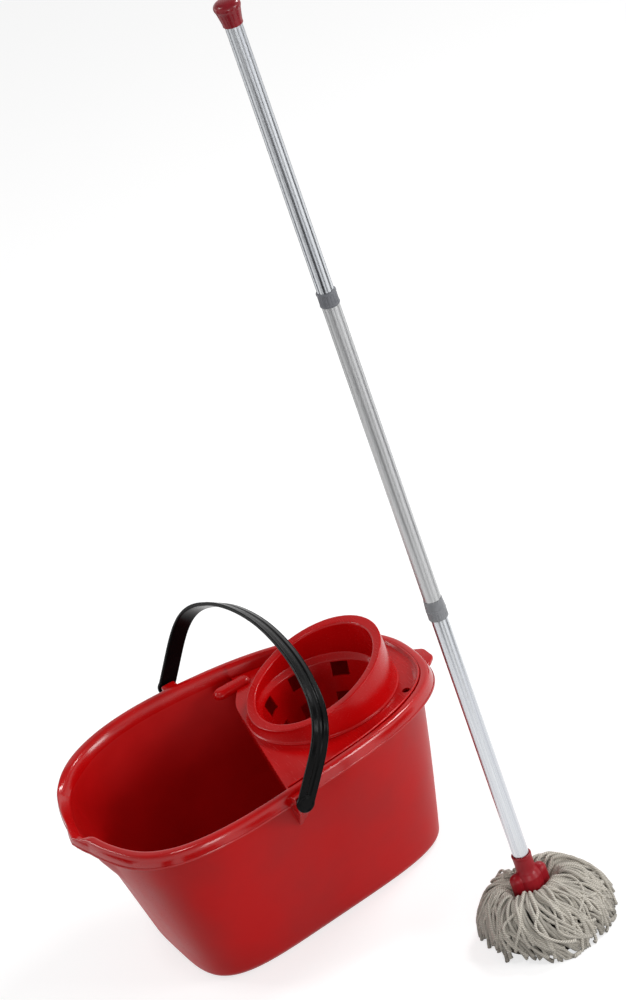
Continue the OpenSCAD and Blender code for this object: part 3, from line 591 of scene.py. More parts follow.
def makeDripRib():
    p, b = dripRib, bucket
    x, low, up = -rimA - b["spoutReach"] / 2, b["tipSide"] - p["width"] / 2, b["tipSide"] + p["width"] / 2
    high = b["height"] - b["drop"] - b["spoutDip"] - b["spoutLip"]
    outline = softCorners([[x, low], [x + p["length"], low], [x + p["length"], up], [x, up]], p["corner"], 5,
                          wrap=True)
    rings = roundedSlab(outline, high - p["height"], high, p["round"], 0.2)
    gridPiece("dripRib", rings, redBead, "bucket_shell", sharp=60)


makeBucketShell()
makePivotBlocks()
makePourGrip()
makeDripRib()
print("bucket made")


# bail

bail = {
    "rise": 140, "lean": 33.5, "width": 20, "thickness": 4.5, "groove": 1.1, "gap": 14.5, "bow": 5,
    "bowRate": 4, "sidePower": 1.09, "topPower": 0.47, "steps": 150, "peg": 4.92, "pegLength": 17,
    "endCount": 64,
}


def bailArch(u):
    # sideways = half cos(t)^sidePower + bow near the pivots, up = rise sin(t)^topPower, t = 90 (1 - cos 180u)
    b = bail
    t = np.pi / 2 * (1 - np.cos(np.pi * u))
    half = rimHalf(pivot[0]) + b["gap"] + b["thickness"] / 2
    bow = b["bow"] * np.sin(np.minimum(np.pi, b["bowRate"] * np.minimum(t, np.pi - t)))
    c = np.cos(t)
    return np.stack([np.sign(c) * (half * np.abs(c) ** b["sidePower"] + bow),
                     b["rise"] * np.abs(np.sin(t)) ** b["topPower"]], -1)


def leanBack(p):
    # the arch, worked out upright over the pivots, is turned about their line by the lean
    c, s = np.cos(np.radians(bail["lean"])), np.sin(np.radians(bail["lean"]))
    return np.stack([pivot[0] + p[..., 0] * c + p[..., 2] * s, p[..., 1],
                     pivot[2] - p[..., 0] * s + p[..., 2] * c], -1)


def makeBailStrap():
    # a section with two ridges, a groove between them and thin raised edges is carried along the arch
    w, d, g = bail["width"] / 2, bail["thickness"] / 2, bail["groove"]
    half = np.array([[w, -d + 0.8], [w, d - 0.9], [w - 0.7, d], [w - 1.5, d - 0.5], [w * 0.62, d - 0.25],
                     [w / 3, d], [w / 6, d - g]])
    other = half[::-1] * np.array([-1, 1])
    section = softCorners(np.concatenate([other[-1:], [[-w + 1.2, -d], [w - 1.2, -d]], half, other[:-1]]),
                          0.7, 5, wrap=True)
    u = np.linspace(0, 1, bail["steps"])
    arch = bailArch(u)
    run = np.gradient(arch, axis=0)
    run[0], run[-1] = (0, 1), (0, -1)
    run /= np.linalg.norm(run, axis=1, keepdims=True)
    across = np.repeat(section[None, :, 0], len(u), 0)
    side = arch[:, :1] + section[None, :, 1] * run[:, 1:]
    up = arch[:, 1:] - section[None, :, 1] * run[:, :1]
    rings = closeEnds(leanBack(np.stack([across, side, up], -1)))
    gridPiece("bailStrap", rings, blackStrap, "bail_handle", sharp=32)


def makeBailEnds():
    # round ends with a stepped boss, each with its peg, turned as (radius, distance out) profiles
    b = bail
    inner = rimHalf(pivot[0]) + b["gap"]
    outer, root, r = inner + b["thickness"], inner - b["pegLength"], b["width"] / 2 + 0.5
    profile = softCorners([
        [0, root], [b["peg"] - 0.8, root], [b["peg"], root + 0.8], [b["peg"], inner], [r - 0.7, inner],
        [r, inner + 0.7], [r, outer - 0.7], [r - 0.7, outer + 0.15], [r - 2.2, outer + 0.15],
        [r - 2.5, outer - 0.35], [r - 3.3, outer - 0.35], [r - 3.7, outer + 0.1], [0, outer + 0.1]], 0.5, 4)
    rings = turned(profile, (0, 0), b["endCount"])[..., [0, 2, 1]]
    bothSides("bailEnd", leanBack(rings), blackStrap, "bail_handle")


makeBailStrap()
makeBailEnds()
print("bail made")


# wringer

wringerLow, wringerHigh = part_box("wringer_basket")
wringerX = (wringerLow[0] + wringerHigh[0]) / 2 / mm
wringer = {
    "deckDrop": 14, "deckThickness": 2.5, "edgeX": 9, "edgeSkew": 10.4, "notchX": 46, "flange": 3,
    "clear": 0.4, "plateInset": 4.4, "hole": 9, "holeOut": 0.815, "holeY": 70,
    "fingerWidth": 19, "fingerHeight": 6, "fingerY": 112, "fingerTip": 24,
    "skirt": 15, "skirtWall": 2.5, "spigotInset": 4.5,
    "collar": 87.5, "taper": 4.5, "mouth": 35, "tilt": 14.9, "lip": 12.5, "waist": 7, "waistStep": 5.2,
    "waistDrop": 0.3, "depth": 93, "floorRadius": 39, "wall": 2.5, "drainWidth": 20.5, "drainHeight": 16,
    "drains": 8, "rows": 2, "pitch": 33.5, "drainDrop": 5.2,
    "floorHoles": 6, "floorHoleRing": 23.4, "floorHoleRadius": 6,
}
deckZ = bucket["height"] - wringer["deckDrop"]
deckLow = deckZ - wringer["deckThickness"]
deckInset = bucket["bead"] + 0.9 + wringer["clear"] / 2


def rimPlan(w, inset):
    # the rim's outline, drawn in by inset
    return planPoint(w, rimA - inset, rimB - inset, bucket["squareness"], bucket["egg"])


def deckAngles(inset, count):
    # angles at which that outline lies on the deck's side of its free edge
    w = np.linspace(-np.pi, np.pi, 14401)
    x, y = rimPlan(w, inset)
    edge = np.where(y < 0, wringer["edgeX"] + y * np.tan(np.radians(wringer["edgeSkew"])), wringer["notchX"])
    inside = w[x > edge]
    return np.linspace(inside[0], inside[-1], count)


def shoulder(inset):
    # depth of the bead's inner slope below the crest
    s = inset / bucket["bead"]
    return 0 if s < 0.5 else bucket["skirt"] * (2 * s - 1) ** 3


def makeDeckRim():
    # a closed section of wall, shoulder and flange is carried round the rim's outline
    bead, crest, c = bucket["bead"], bucket["height"], wringer["clear"]
    flange, middle = bead * 0.88 - wringer["flange"], bead * 0.78
    corners = [[deckInset, deckLow, 0], [bead * 0.87, crest - shoulder(bead * 0.82), 1],
               [middle, crest - shoulder(middle - c) + c / 2, 1], [flange, crest + c, 1],
               [flange + 0.4, crest + c + 0.8, 1], [flange + 1.2, crest + c + 1.2, 1],
               [middle + 1, crest + c + 0.6, 1], [bead * 0.98, crest - 2, 1],
               [deckInset + wringer["deckThickness"], deckZ, 0]]
    inset, high, arch = softCorners(corners, 1.6, 5, wrap=True).T[:, :, None]
    x, y = rimPlan(deckAngles(bead, 220)[None], inset)
    z = high - arch * bucket["drop"] * (x / rimA) ** 2
    rings = closeEnds(np.stack([x, y, z], -1).transpose(1, 0, 2))
    gridPiece("deckRim", rings, redWringer, "wringer_deck")


def freeEdge():
    # the deck's edge that crosses the bucket, from the front wall to the notch behind the finger
    v, inset = wringer, deckInset + 1
    slope, y, f = np.tan(np.radians(v["edgeSkew"])), v["fingerY"], v["fingerWidth"]
    front, back = deckAngles(inset, 2)
    corners = [rimPlan(front, inset), [v["edgeX"] + (y - 2 * f) * slope, y - 2 * f],
               [v["notchX"] - 13, y - f], [v["notchX"] - 3, y - f / 4], [v["notchX"], y + f / 3],
               rimPlan(back, inset)]
    return softCorners(corners, 14, 8)


def makeDeckPlate():
    # rays from the basket's middle run from the round hole out to the deck's outline, which is looked up by
    # angle; the plate is one closed loop of top and bottom
    inset = deckInset + 1
    rim = np.stack(rimPlan(deckAngles(inset, 400), inset), -1)
    out = np.concatenate([rim, evenly(freeEdge()[::-1], 600)]) - np.array([wringerX, 0])
    angle, far = np.arctan2(out[:, 1], out[:, 0]), np.hypot(out[:, 0], out[:, 1])
    order = np.argsort(angle)
    a = np.linspace(-np.pi, np.pi, 480, endpoint=False)
    reach = np.interp(a, angle[order], far[order], period=2 * np.pi)
    hole = wringer["collar"] - wringer["plateInset"]
    r = mix(hole, np.maximum(reach, hole + 0.5)[None], np.linspace(0, 1, 10)[:, None])
    top = roundAbout((wringerX, 0), r, a, deckZ)
    low = top[::-1] - np.array([0, 0, wringer["deckThickness"]])
    rings = np.concatenate([top, low])
    return gridPiece("deckPlate", rings, redWringer, "wringer_deck", wrapRows=True, sharp=40)


def makeDeckSkirt():
    # a lip hangs from the free edge: a rounded section carried along the edge's plan
    edge = evenly(freeEdge(), 240)
    step = np.gradient(edge, axis=0)
    step /= np.linalg.norm(step, axis=1, keepdims=True)
    side = np.stack([step[:, 1], -step[:, 0]], -1)  # towards the deck
    t, low = wringer["skirtWall"], deckZ - wringer["skirt"]
    section = softCorners([[0, low], [0, deckZ - 1.4], [1.4, deckZ + 0.02], [t + 2, deckZ + 0.02],
                           [t + 2, deckLow], [t, deckLow], [t, low]], 1.3, 6, wrap=True)
    plan = edge[:, None] + side[:, None] * section[None, :, :1]
    rings = closeEnds(np.concatenate([plan, np.repeat(section[None, :, 1:], len(edge), 0)], -1))
    gridPiece("deckSkirt", rings, redWringer, "wringer_deck")


def makeFinger():
    # a round-ended bar seen from above, stacked up with a deeply rounded top
    v = wringer
    r, root = v["fingerWidth"] / 2, v["notchX"] + 6
    a = np.linspace(np.pi / 2, 3 * np.pi / 2, 40)
    left = np.stack([v["fingerTip"] + r * np.cos(a), v["fingerY"] + r * np.sin(a)], -1)
    right = np.stack([root - r * np.cos(a), v["fingerY"] - r * np.sin(a)], -1)
    rings = roundedSlab(np.concatenate([left, right]), deckLow, deckZ + v["fingerHeight"], 1.0, 6.2, 10)
    gridPiece("hookFinger", rings, redWringer, "wringer_deck", sharp=60)


mouthZ = deckZ + wringer["mouth"]
mouthSlope = np.tan(np.radians(wringer["tilt"]))
floorZ = deckZ - wringer["depth"]


def makeBasket():
    # one sheet: up the collar, over the tilted lip, down the throat and the pierced cone to the floor.
    # A row gives (radius, height, share of the mouth's tilt); columns in each of the eight sectors keep
    # to lines tangent to the drain holes, a = asin(half hole / radius)
    v = wringer
    collar, top, inFloor = v["collar"], v["collar"] - v["taper"], floorZ + v["wall"]
    throat = collar - v["taper"] / 2 - v["lip"]
    waistZ = mouthZ - collar * mouthSlope - v["waistDrop"]
    waistLow, coneTop = waistZ - v["waist"], throat - v["waistStep"]
    upper = softCorners([
        [collar + 0.9, deckZ + 0.1, 0], [collar + 0.9, deckZ + 1.2, 0], [collar - 0.6, deckZ + 2.6, 0],
        [mix(collar, top, 0.75), mouthZ - 3.2, 1], [top + 0.9, mouthZ - 2.2, 1], [top + 0.9, mouthZ - 0.6, 1],
        [top - 0.4, mouthZ, 1], [throat + 1.2, mouthZ - 0.4, 1], [throat, mouthZ - 2.0, 1]],
        [0, 0.8, 2.0, 2, 0.6, 0.7, 1.0, 1.6, 0], 6)
    middle = [[throat, mix(mouthZ - 2.2, waistZ + 0.9, t), 1 - t] for t in np.linspace(0.05, 1, 8)]
    slope = (coneTop - v["floorRadius"]) / (waistLow - inFloor)
    bend = softCorners([[throat, waistZ + 0.7, 0], [throat - 0.2, waistZ - 0.5, 0],
                        [coneTop + 0.2, waistLow + 0.7, 0], [coneTop - slope * 0.8, waistLow - 0.8, 0]],
                       [0, 2, 3, 0], 8)
    holes = [deckZ - v["drainDrop"] - i * v["pitch"] for i in range(v["rows"])]
    lines = np.concatenate([np.linspace(z + v["drainHeight"] / 2, z - v["drainHeight"] / 2, 6) for z in holes]
                           + [[inFloor + 6]])
    cone = np.stack([v["floorRadius"] + slope * (lines - inFloor), lines, lines * 0], -1)
    foot = softCorners([cone[-1], [v["floorRadius"], inFloor, 0], [0, inFloor, 0]], [0, 3, 0], 6)[1:]
    r, high, tilt = np.concatenate([upper, middle, bend, cone, foot]).T[:, :, None]
    half = np.arcsin(np.clip(v["drainWidth"] / 2 / np.maximum(r, v["floorRadius"]), 0, 0.9))
    sector = 2 * np.pi / v["drains"]
    beside = mix(half, sector - half, np.linspace(0, 1, 6)[1:-1])
    cols = np.concatenate([half * np.linspace(-1, 1, 9), beside], 1)
    a = (cols[:, None, :] + np.arange(v["drains"])[None, :, None] * sector).reshape(len(r), -1)
    points = roundAbout((wringerX, 0), r, a, high + tilt * r * np.cos(a) * mouthSlope)
    quads = gridQuads(len(r), a.shape[1]).reshape(len(r) - 1, v["drains"], -1, 4)
    keep = np.ones(quads.shape[:3], bool)
    first = len(upper) + len(middle) + len(bend)
    for start in range(first, first + 6 * v["rows"], 6):
        keep[start:start + 5, :, 0:8] = False
    basket = makeMesh("wringerBasket", points, quads[keep], redWringer, closed=False, sharp=42)
    return standFor(basket, "wringer_basket")


def settle(piece):
    # the piece keeps the shape that its modifiers give it, without them
    graph = bpy.context.evaluated_depsgraph_get()
    mesh = bpy.data.meshes.new_from_object(piece.evaluated_get(graph))
    piece.modifiers.clear()
    piece.data = mesh
    mesh.set_sharp_from_angle(angle=np.radians(42))
    return piece


def punch(piece, centres, radius, low, high, count=32):
    # round bars at the centres are cut out of the piece
    for centre in centres:
        rings = closeEnds(turned([[radius, low], [radius, high]], centre, count))
        bar = makeMesh("bar", rings, gridQuads(len(rings), count), redWringer)
        cut = piece.modifiers.new("cut", "BOOLEAN")
        cut.object, cut.operation, cut.solver = bar, "DIFFERENCE", "EXACT"
        settle(piece)
        bpy.data.objects.remove(bar)
    return piece


def thicken(piece, wall):
    # the sheet gets its wall behind the side that shows
    solid = piece.modifiers.new("wall", "SOLIDIFY")
    solid.thickness, solid.offset, solid.use_even_offset = wall * mm, -1, True
    return settle(piece)


def soften(piece, width):
    # a fine bevel takes the sharpness off the edges
    bevel = piece.modifiers.new("soften", "BEVEL")
    bevel.width, bevel.segments, bevel.limit_method = width * mm, 2, "ANGLE"
    bevel.angle_limit = np.radians(50)


def makeSpigot():
    # ring under the collar that sits in the deck's hole
    r, low = wringer["collar"] - wringer["spigotInset"], deckLow - 2
    profile = softCorners([[r - 2.5, low], [r, low], [r, deckZ + 1], [r - 2.5, deckZ + 1]], 0.5, 4, wrap=True)
    gridPiece("basketSpigot", turned(profile, (wringerX, 0)), redWringer, "wringer_basket", wrapRows=True)


makeDeckRim()
holeX, holeY = wringerX + wringer["collar"] * wringer["holeOut"], wringer["holeY"]
deckHoles = [(holeX, -holeY), (holeX, holeY)]
soften(punch(makeDeckPlate(), deckHoles, wringer["hole"] / 2, deckZ - 10, deckZ + 10), 0.5)
makeDeckSkirt()
makeFinger()
floorHoles = roundAbout((wringerX, 0), wringer["floorHoleRing"], roundCircle(wringer["floorHoles"]), 0)[:, :2]
soften(punch(thicken(makeBasket(), wringer["wall"]), floorHoles, wringer["floorHoleRadius"], floorZ - 5,
             floorZ + 8), 0.4)
makeSpigot()
print("wringer made")


# handle

tubeLow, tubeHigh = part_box("middle_tube")
mopAxis = np.array([tubeLow[0] + tubeHigh[0], tubeLow[1] + tubeHigh[1]]) / 2 / mm
handle = {"tube": 9.0, "bore": 9.05, "wall": 0.45, "collar": 11.0, "cap": 14.0}
middleRadius = handle["bore"] + handle["wall"]


def span(node):
    # lowest and highest point of a CAD node, in millimetres
    low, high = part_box(node)
    return low[2] / mm, high[2] / mm


def makeTube(name, node, r, look):
    # a thin wall whose cut ends are rolled in a little
    low, high = span(node)
    inner = r - handle["wall"]
    profile = softCorners([[inner, low], [r - 0.15, low], [r, low + 0.5], [r, high - 0.5], [r - 0.15, high],
                           [inner, high]], 0.1, 3, wrap=True)
    gridPiece(name, turned(profile, mopAxis), look, node, wrapRows=True, sharp=60)


def collarPiece(name, profile, look, node, low, high, flutes, depth):
    # between two heights the outside is drawn in by depth cos^6 of half the turn's multiple
    rings = turned(np.concatenate(profile), mopAxis, 240)
    out = rings[..., :2] - mopAxis
    r, z = np.hypot(out[..., 0], out[..., 1]), rings[..., 2]
    band = ease((z - low) / 1.2) * ease((high - z) / 1.2) * (r > middleRadius + 0.6)
    cut = depth * band * np.cos(flutes * np.arctan2(out[..., 1], out[..., 0]) / 2) ** 6
    rings[..., :2] = mopAxis + out * ((r - cut) / r)[..., None]
    gridPiece(name, rings, look, node, wrapRows=True, sharp=45)


def makeUpperCollar():
    low, high = span("upper_collar")
    r, seat, bore, mid = handle["collar"], middleRadius + 0.02, handle["bore"], (low + high) / 2 + 0.4
    profile = [
        softCorners([[seat, low], [r - 1.3, low], [r - 0.4, low + 0.9], [r - 0.4, low + 1.9]], 0.5, 4),
        [[r - 0.7, z] for z in np.linspace(low + 2.2, high - 3.0, 14)],
        softCorners([[r - 0.3, high - 2.6], [r - 0.3, high - 1.3], [r - 1.4, high], [bore, high], [bore, mid],
                     [seat, mid]], 0.6, 4)]
    collarPiece("upperCollar", profile, darkCollar, "upper_collar", low + 2.0, high - 2.8, 18, 0.35)


def makeLowerCollar():
    # wide foot, a raised ring halfway, and a flared neck that closes on the middle tube
    low, high = span("lower_collar")
    ring, inside, seat = (low + high) / 2, low + 9.6, middleRadius + 0.02
    r, bore = handle["collar"], handle["bore"]
    profile = [
        softCorners([[bore, low], [r - 1.3, low], [r - 0.2, low + 1.1], [r - 0.2, low + 2.0]], 0.5, 4),
        [[r - 0.25, z] for z in np.linspace(low + 2.4, ring - 2.2, 10)],
        softCorners([[r - 0.2, ring - 1.8], [r, ring - 1.2], [r, ring], [r - 0.6, ring + 0.3],
                     [r - 0.6, ring + 1.4], [r - 0.2, ring + 1.9], [seat + 0.5, high], [seat, high],
                     [seat, inside], [bore, inside]], 0.5, 4)]
    collarPiece("lowerCollar", profile, greyCollar, "lower_collar", low + 2.2, ring - 2.0, 22, 0.3)


def makeEndCap():
    # widest in its upper third, with a gently domed top
    low, high = span("end_cap")
    h, r, tube = high - low, handle["cap"], handle["tube"] + 0.02
    profile = softCorners([
        [tube, low], [tube + 1.4, low], [tube + 1.4, low + h * 0.12], [r - 1.2, low + h * 0.6],
        [r, low + h * 0.7], [r, low + h * 0.8], [r - 1.2, low + h * 0.89], [r * 0.72, low + h * 0.965],
        [r * 0.3, high], [0, high], [0, high - 6], [tube, high - 6]],
        [0.3, 0.5, 1.5, 3, 2, 1.6, 2.5, 4, 4, 0, 0, 0.2], 7, wrap=True)
    gridPiece("endCap", turned(profile, mopAxis, 120), redCap, "end_cap", wrapRows=True, sharp=60)


def dressLocks():
    # the lock pieces, the plug and the retainer keep their solids and take their finishes
    for node, look in (("upper_lock_core", lockPlastic), ("lower_lock_core", lockPlastic),
                       ("upper_lock_sleeve", lockSleeve), ("lower_lock_sleeve", lockSleeve),
                       ("thread_plug", lockPlastic), ("yarn_retainer", lockSleeve)):
        solid = frame["nodes"][node]
        if not solid.data.materials:
            solid.data.materials.append(look)
        for slot in solid.material_slots:
            slot.material = look


makeTube("upperTube", "upper_tube", handle["tube"], brightTube)
makeTube("middleTube", "middle_tube", middleRadius, greyTube)
makeTube("lowerTube", "lower_tube", handle["tube"], brightTube)
makeUpperCollar()
makeLowerCollar()
makeEndCap()
dressLocks()
print("handle made")


# mop head

socket = {
    "sleeve": 10.8, "sleeveLength": 23, "hood": 14.5, "hoodDepth": 23, "wall": 2, "ear": 8, "earX": 14,
    "tooth": 3, "teeth": 10, "roof": 4, "seat": 6.4, "blend": 9, "around": 240,
}


def makeSocket():
    # sleeve and hood are turned; each ear is the far side of a circle met by a ray from the axis,
    # joined to the hood by a soft maximum (hood^n + ear^n)^(1/n); the foot is notched into teeth
    s, base, a = socket, span("mop_socket")[0], roundCircle(socket["around"])
    count, earX, n = s["around"], s["earX"], s["blend"]
    hoodTop, earTop = base + s["hoodDepth"], base + s["hoodDepth"] - s["ear"] * 0.7
    z = np.concatenate([np.linspace(base, earTop, 14),
                        np.linspace(earTop + 0.6, hoodTop + s["ear"] * 0.25, 16)])
    r = np.sqrt(np.maximum(s["ear"] ** 2 - np.maximum(z - earTop, 0) ** 2, 0))[:, None]
    c, q = np.abs(np.cos(a))[None], np.abs(np.sin(a))[None]
    reach = earX * c + np.sqrt(np.maximum(r ** 2 - (earX * q) ** 2, 0))
    ear = np.where((r > earX * q) & (r > 0.2), reach, 0)
    hood = np.interp(z, [base, hoodTop - 5, hoodTop, z[-1]],
                     [s["hood"], s["hood"], s["sleeve"] + 1.6, s["sleeve"] + 0.3])
    foot = base + s["tooth"] * ease(2.2 * np.cos(s["teeth"] * a + np.pi) - 0.6)
    height = np.repeat(z[:, None], count, 1)
    height[0] = foot
    height[1:4] = np.maximum(height[1:4], foot + np.array([0.5, 1.0, 1.5])[:, None])
    skin = roundAbout(mopAxis, (hood[:, None] ** n + ear ** n) ** (1 / n), a, height)
    mouth = hoodTop + s["sleeveLength"]
    r0, bore, inner = s["sleeve"], handle["tube"] + 0.1, s["hood"] - s["wall"]
    sleeve = softCorners([
        [r0, z[-1] + 0.6], [r0 - 0.25, z[-1] + 4], [r0 - 0.1, mouth - 3.2], [r0 + 0.25, mouth - 2.6],
        [r0 + 0.25, mouth - 0.6], [r0 - 0.4, mouth], [bore, mouth], [bore, mouth - s["seat"]],
        [0, mouth - s["seat"]]], 0.8, 5)
    inside = [[0, hoodTop - s["roof"]], [inner, hoodTop - s["roof"]], [inner, base + s["tooth"] + 0.5]]
    rings = np.concatenate([turned(inside, mopAxis, count), roundAbout(mopAxis, inner, a, foot)[None], skin,
                            turned(sleeve, mopAxis, count)])
    gridPiece("mopSocket", rings, redSocket, "mop_socket", sharp=38)


makeSocket()
print("socket made")


# yarn

yarn = {
    "seed": 7, "strandRadius": 1.75, "steps": 34, "sides": 8, "top": 58, "root": 11.5, "dip": 12.5,
    "reach": 75, "lean": 8, "towards": -30, "pull": 0.5, "coreDepth": 12,
    "layers": [  # strands, strands in a lock, depth below the surface, shortest and longest run, wander
        (104, 2.4, 2.0, 0.8, 1.03, 2.0), (100, 2.2, 5.0, 0.84, 1.02, 1.7), (96, 2.0, 8.5, 0.9, 1.0, 1.2),
        (24, 1.0, -0.4, 0.66, 1.05, 3.0)],
    # tones are painted shade for each layer: deeper layers darker, the crossing strands on top a little lighter
    "paintedShadeTones": (1.0, 0.74, 0.48, 1.04),
    "loops": [  # direction from the camera's right, run, how high the loop stands, swirl
        (150, 0.50, 9, -0.5), (128, 0.46, 7, 0.4), (72, 0.62, 8, -0.5), (54, 0.74, 10, -0.4),
        (40, 0.8, 9, -0.2), (30, 0.84, 8, -0.3), (88, 0.5, 6, 0.3)],
}
cameraBack = np.cross(cameraSettings["right"], cameraSettings["up"])
cameraRight = np.arctan2(cameraBack[0], -cameraBack[1])  # the floor's direction towards the picture's right


def tubesAlong(paths, radius, sides):
    # every path (strands, steps, 3) gets rings round it, centre + r (cos v side + sin v lift): flat is the
    # strand's chord crossed with up, lift is the run crossed with flat, and side is lift crossed with the run
    def unit(v):
        return v / np.maximum(np.linalg.norm(v, axis=2, keepdims=True), 1e-9)

    run = unit(np.gradient(paths, axis=1))
    flat = unit(np.cross(paths[:, -1:] - paths[:, :1], np.array([0, 0, 1.0])))
    lift = unit(np.cross(run, np.broadcast_to(flat, run.shape)))
    side = np.cross(lift, run)
    v = roundCircle(sides)[:, None]
    ring = np.cos(v) * side[:, :, None] + np.sin(v) * lift[:, :, None]
    return paths[:, :, None] + ring * radius[..., None, None]


def leaning(a):
    # cosine and sine of the turn from the direction that the head is pushed towards
    turn = a - cameraRight - np.radians(yarn["towards"])
    return np.cos(turn), np.sin(turn)


def reachAt(a):
    # how far out the head spreads: reach + lean cos + two small waves
    waves = 2.2 * np.sin(3 * a + 0.6) + 1.8 * np.sin(7 * a + 2.0)
    return yarn["reach"] + yarn["lean"] * leaning(a)[0] + waves


def domeAt(a, s):
    # height of the head's surface at the share s of its reach: top (1 - s^p)^q, fuller on the far side, less
    # a dip round the hood, which is wider under the two ears
    toward = leaning(a)[0]
    dip = yarn["dip"] * (1 - ease((s - 0.16 * ease((np.abs(np.cos(a)) - 0.78) / 0.12)) / 0.22))
    return yarn["top"] * (1 - np.clip(s, 0, 1) ** (2.7 - 0.3 * toward)) ** (0.48 + 0.06 * toward) - dip


def layPaths(a, swirl, run, lift, wander):
    # a strand's share of the reach is run (1 - (1 - t)^1.6); its direction turns by swirl t^1.2 and by a slow
    # wander; its height follows the surface, plus lift
    t = np.linspace(0, 1, yarn["steps"])[None]
    s = run * (1 - (1 - t) ** 1.6)
    angle = a + swirl * t ** 1.2 + wander(t)
    r = yarn["root"] + (reachAt(angle) - yarn["root"]) * s
    z = np.maximum(domeAt(angle, s) + lift(t, s), yarn["strandRadius"] * 1.05)
    return roundAbout(mopAxis, r, angle, z)


def strandPaths(count, lock, depth, shortest, longest, wild, rng):
    # neighbours lie in locks that share most of their wander
    lockOf = np.cumsum(rng.random(count) < 1 / lock)

    def draw(low, high, share=0.8):
        shared = rng.uniform(low, high, lockOf[-1] + 1)[lockOf]
        return (share * shared + (1 - share) * rng.uniform(low, high, count))[:, None]

    a = ((np.arange(count) + rng.uniform(-0.3, 0.3, count)) / count * 2 * np.pi)[:, None]
    swirl = -yarn["pull"] * leaning(a)[1] + wild * draw(-0.24, 0.24)
    phase, pace, size = draw(0, 6.28), draw(3.5, 7.5), wild * draw(0.03, 0.1)
    ripple, beat = draw(0, 6.28, 0.3), draw(8, 14, 0.5)
    high, wave = draw(-2.4, 1.8, 0.6), draw(0.8, 3.0)

    def wander(t):
        return size * np.sin(pace * t + phase) * t + 0.012 * np.sin(beat * t + ripple)

    def lift(t, s):
        return high * ease(4 * t) - depth + wave * np.sin(pace * 1.4 * t + phase * 2) * ease(3 * t)

    run = shortest + (longest - shortest) * draw(0, 1, 0.4) ** 0.6
    return layPaths(a, swirl, run, lift, wander)


def loopPaths():
    # a few loose strands stand up from the head before they fall
    turn, run, stand, swirl = np.array(yarn["loops"]).T[:, :, None]
    a = np.radians(turn) + cameraRight
    return layPaths(a, swirl, run, lambda t, s: stand * np.sin(np.pi * np.clip(t * 1.25, 0, 1)) - 2,
                    lambda t: 0.1 * np.sin(5 * t + a))


def makeYarnCore():
    # the dark mass under the strands is painted shade between them: the head's surface, drawn in by the core's
    # depth
    a, s = roundCircle(96), np.linspace(0, 0.94, 24)[:, None]
    r = (yarn["root"] - 2) * (1 - s) + (reachAt(a) - yarn["coreDepth"]) * s
    z = np.maximum(domeAt(a, s) - yarn["coreDepth"], 1.0)
    z[-1] = 0.6
    gridPiece("yarnCore", closeEnds(roundAbout(mopAxis, r, a, z)), yarnShade, "yarn_bundle")


def strandFaces(count, steps, sides, per):
    # quads along every strand, and a fan of triangles to the middle point of each end
    j = np.arange(sides)
    ahead, end, middle = (j + 1) % sides, (steps - 1) * sides, steps * sides
    fans = [np.stack([j * 0 + middle, ahead, j], -1),
            np.stack([j * 0 + middle + 1, end + j, end + ahead], -1)]
    offset = np.arange(count)[:, None, None] * per
    faces = []
    for part in [gridQuads(steps, sides)] + fans:
        faces += (part[None] + offset).reshape(-1, part.shape[1]).tolist()
    return faces


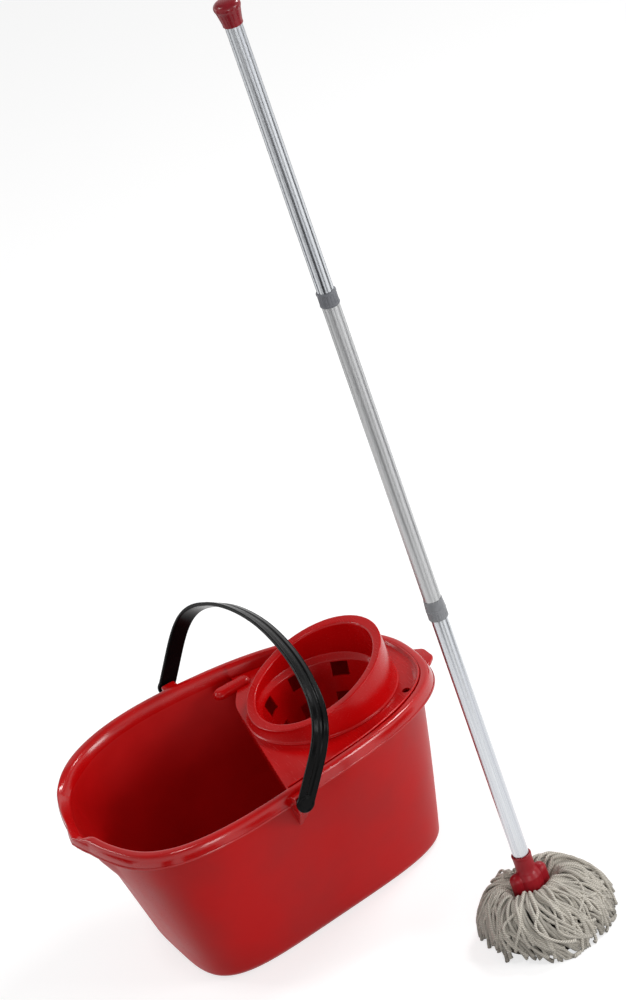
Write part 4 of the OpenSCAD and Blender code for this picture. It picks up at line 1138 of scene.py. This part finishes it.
def strandMap(mesh, paths, sides):
    # u is the length along the strand over 100 mm, v the share of the way round; a face that crosses the seam
    # has its v = 0 corners moved to v = 1
    count, steps = paths.shape[:2]
    length = np.linalg.norm(np.diff(paths, axis=1), axis=2)
    length = np.concatenate([np.zeros((count, 1)), np.cumsum(length, 1)], 1) / 100
    u = np.concatenate([np.repeat(length, sides, 1), length[:, [0, -1]]], 1).ravel()
    v = np.concatenate([np.tile(np.arange(sides) / sides, (count, steps)), np.zeros((count, 2))], 1).ravel()
    sizes = len(mesh.loops), len(mesh.polygons), len(mesh.polygons)
    index, start, total = (np.empty(size, np.int32) for size in sizes)
    mesh.loops.foreach_get("vertex_index", index)
    mesh.polygons.foreach_get("loop_start", start)
    mesh.polygons.foreach_get("loop_total", total)
    u, v = u[index], v[index]
    widest = np.repeat(np.maximum.reduceat(v, start), total)
    v = np.where((v < 0.01) & (widest > 0.6), 1.0, v)
    mesh.uv_layers.new(name="strandMap").data.foreach_set("uv", np.stack([u, v], -1).ravel())


def makeYarn():
    # layers of strands, thickest at their knots and frayed ends; the inner layers are painted darker and the
    # points lower down a little darker, both painted shade
    y, steps, sides = yarn, yarn["steps"], yarn["sides"]
    rng = np.random.default_rng(y["seed"])
    layers = [strandPaths(*layer, rng) for layer in y["layers"]] + [loopPaths()]
    paths = np.concatenate(layers)
    count, t = len(paths), np.linspace(0, 1, steps)[None]
    knots = 1 + 0.07 * np.sin(t * 34 + rng.uniform(0, 6, (count, 1)))
    knots = knots + 0.05 * np.sin(t * 61 + rng.uniform(0, 6, (count, 1)))
    frayed = 1 + 0.3 * np.clip(t * 10 - 9, 0, 1)
    radius = y["strandRadius"] * rng.uniform(0.8, 1.15, (count, 1)) * knots * frayed
    rings = tubesAlong(paths, radius, sides)
    points = np.concatenate([rings.reshape(count, -1, 3), paths[:, [0, -1]]], 1)
    per = points.shape[1]
    mesh = bpy.data.meshes.new("yarnStrands")
    mesh.from_pydata((points.reshape(-1, 3) * mm).tolist(), [], strandFaces(count, steps, sides, per))
    mesh.materials.append(yarnCotton)
    strandMap(mesh, paths, sides)
    # painted shade: each layer darkened by its tone and every point darker lower down, times a random tone for
    # each strand
    layerShade = np.concatenate([np.full(len(layer), tone) for layer, tone in zip(layers, y["paintedShadeTones"] + (1.0,))])
    heightShade = np.clip(points[..., 2].ravel() / 30, 0.0, 1.0) * 0.12 + 0.88
    shade = np.repeat(rng.uniform(0.84, 1.1, count) * layerShade, per) * heightShade
    colours = np.stack([shade, shade * 0.995, shade * 0.98, np.ones_like(shade)], -1)
    paintedShadeTones = mesh.color_attributes.new(name="strandToneAndShade", type="FLOAT_COLOR", domain="POINT")
    paintedShadeTones.data.foreach_set("color", colours.ravel())
    mesh.polygons.foreach_set("use_smooth", np.ones(len(mesh.polygons), bool))
    strands = bpy.data.objects.new("yarnStrands", mesh)
    bpy.context.scene.collection.objects.link(strands)
    standFor(strands, "yarn_bundle")
    print("yarn strands:", count, "faces:", len(mesh.polygons))


makeYarnCore()
makeYarn()
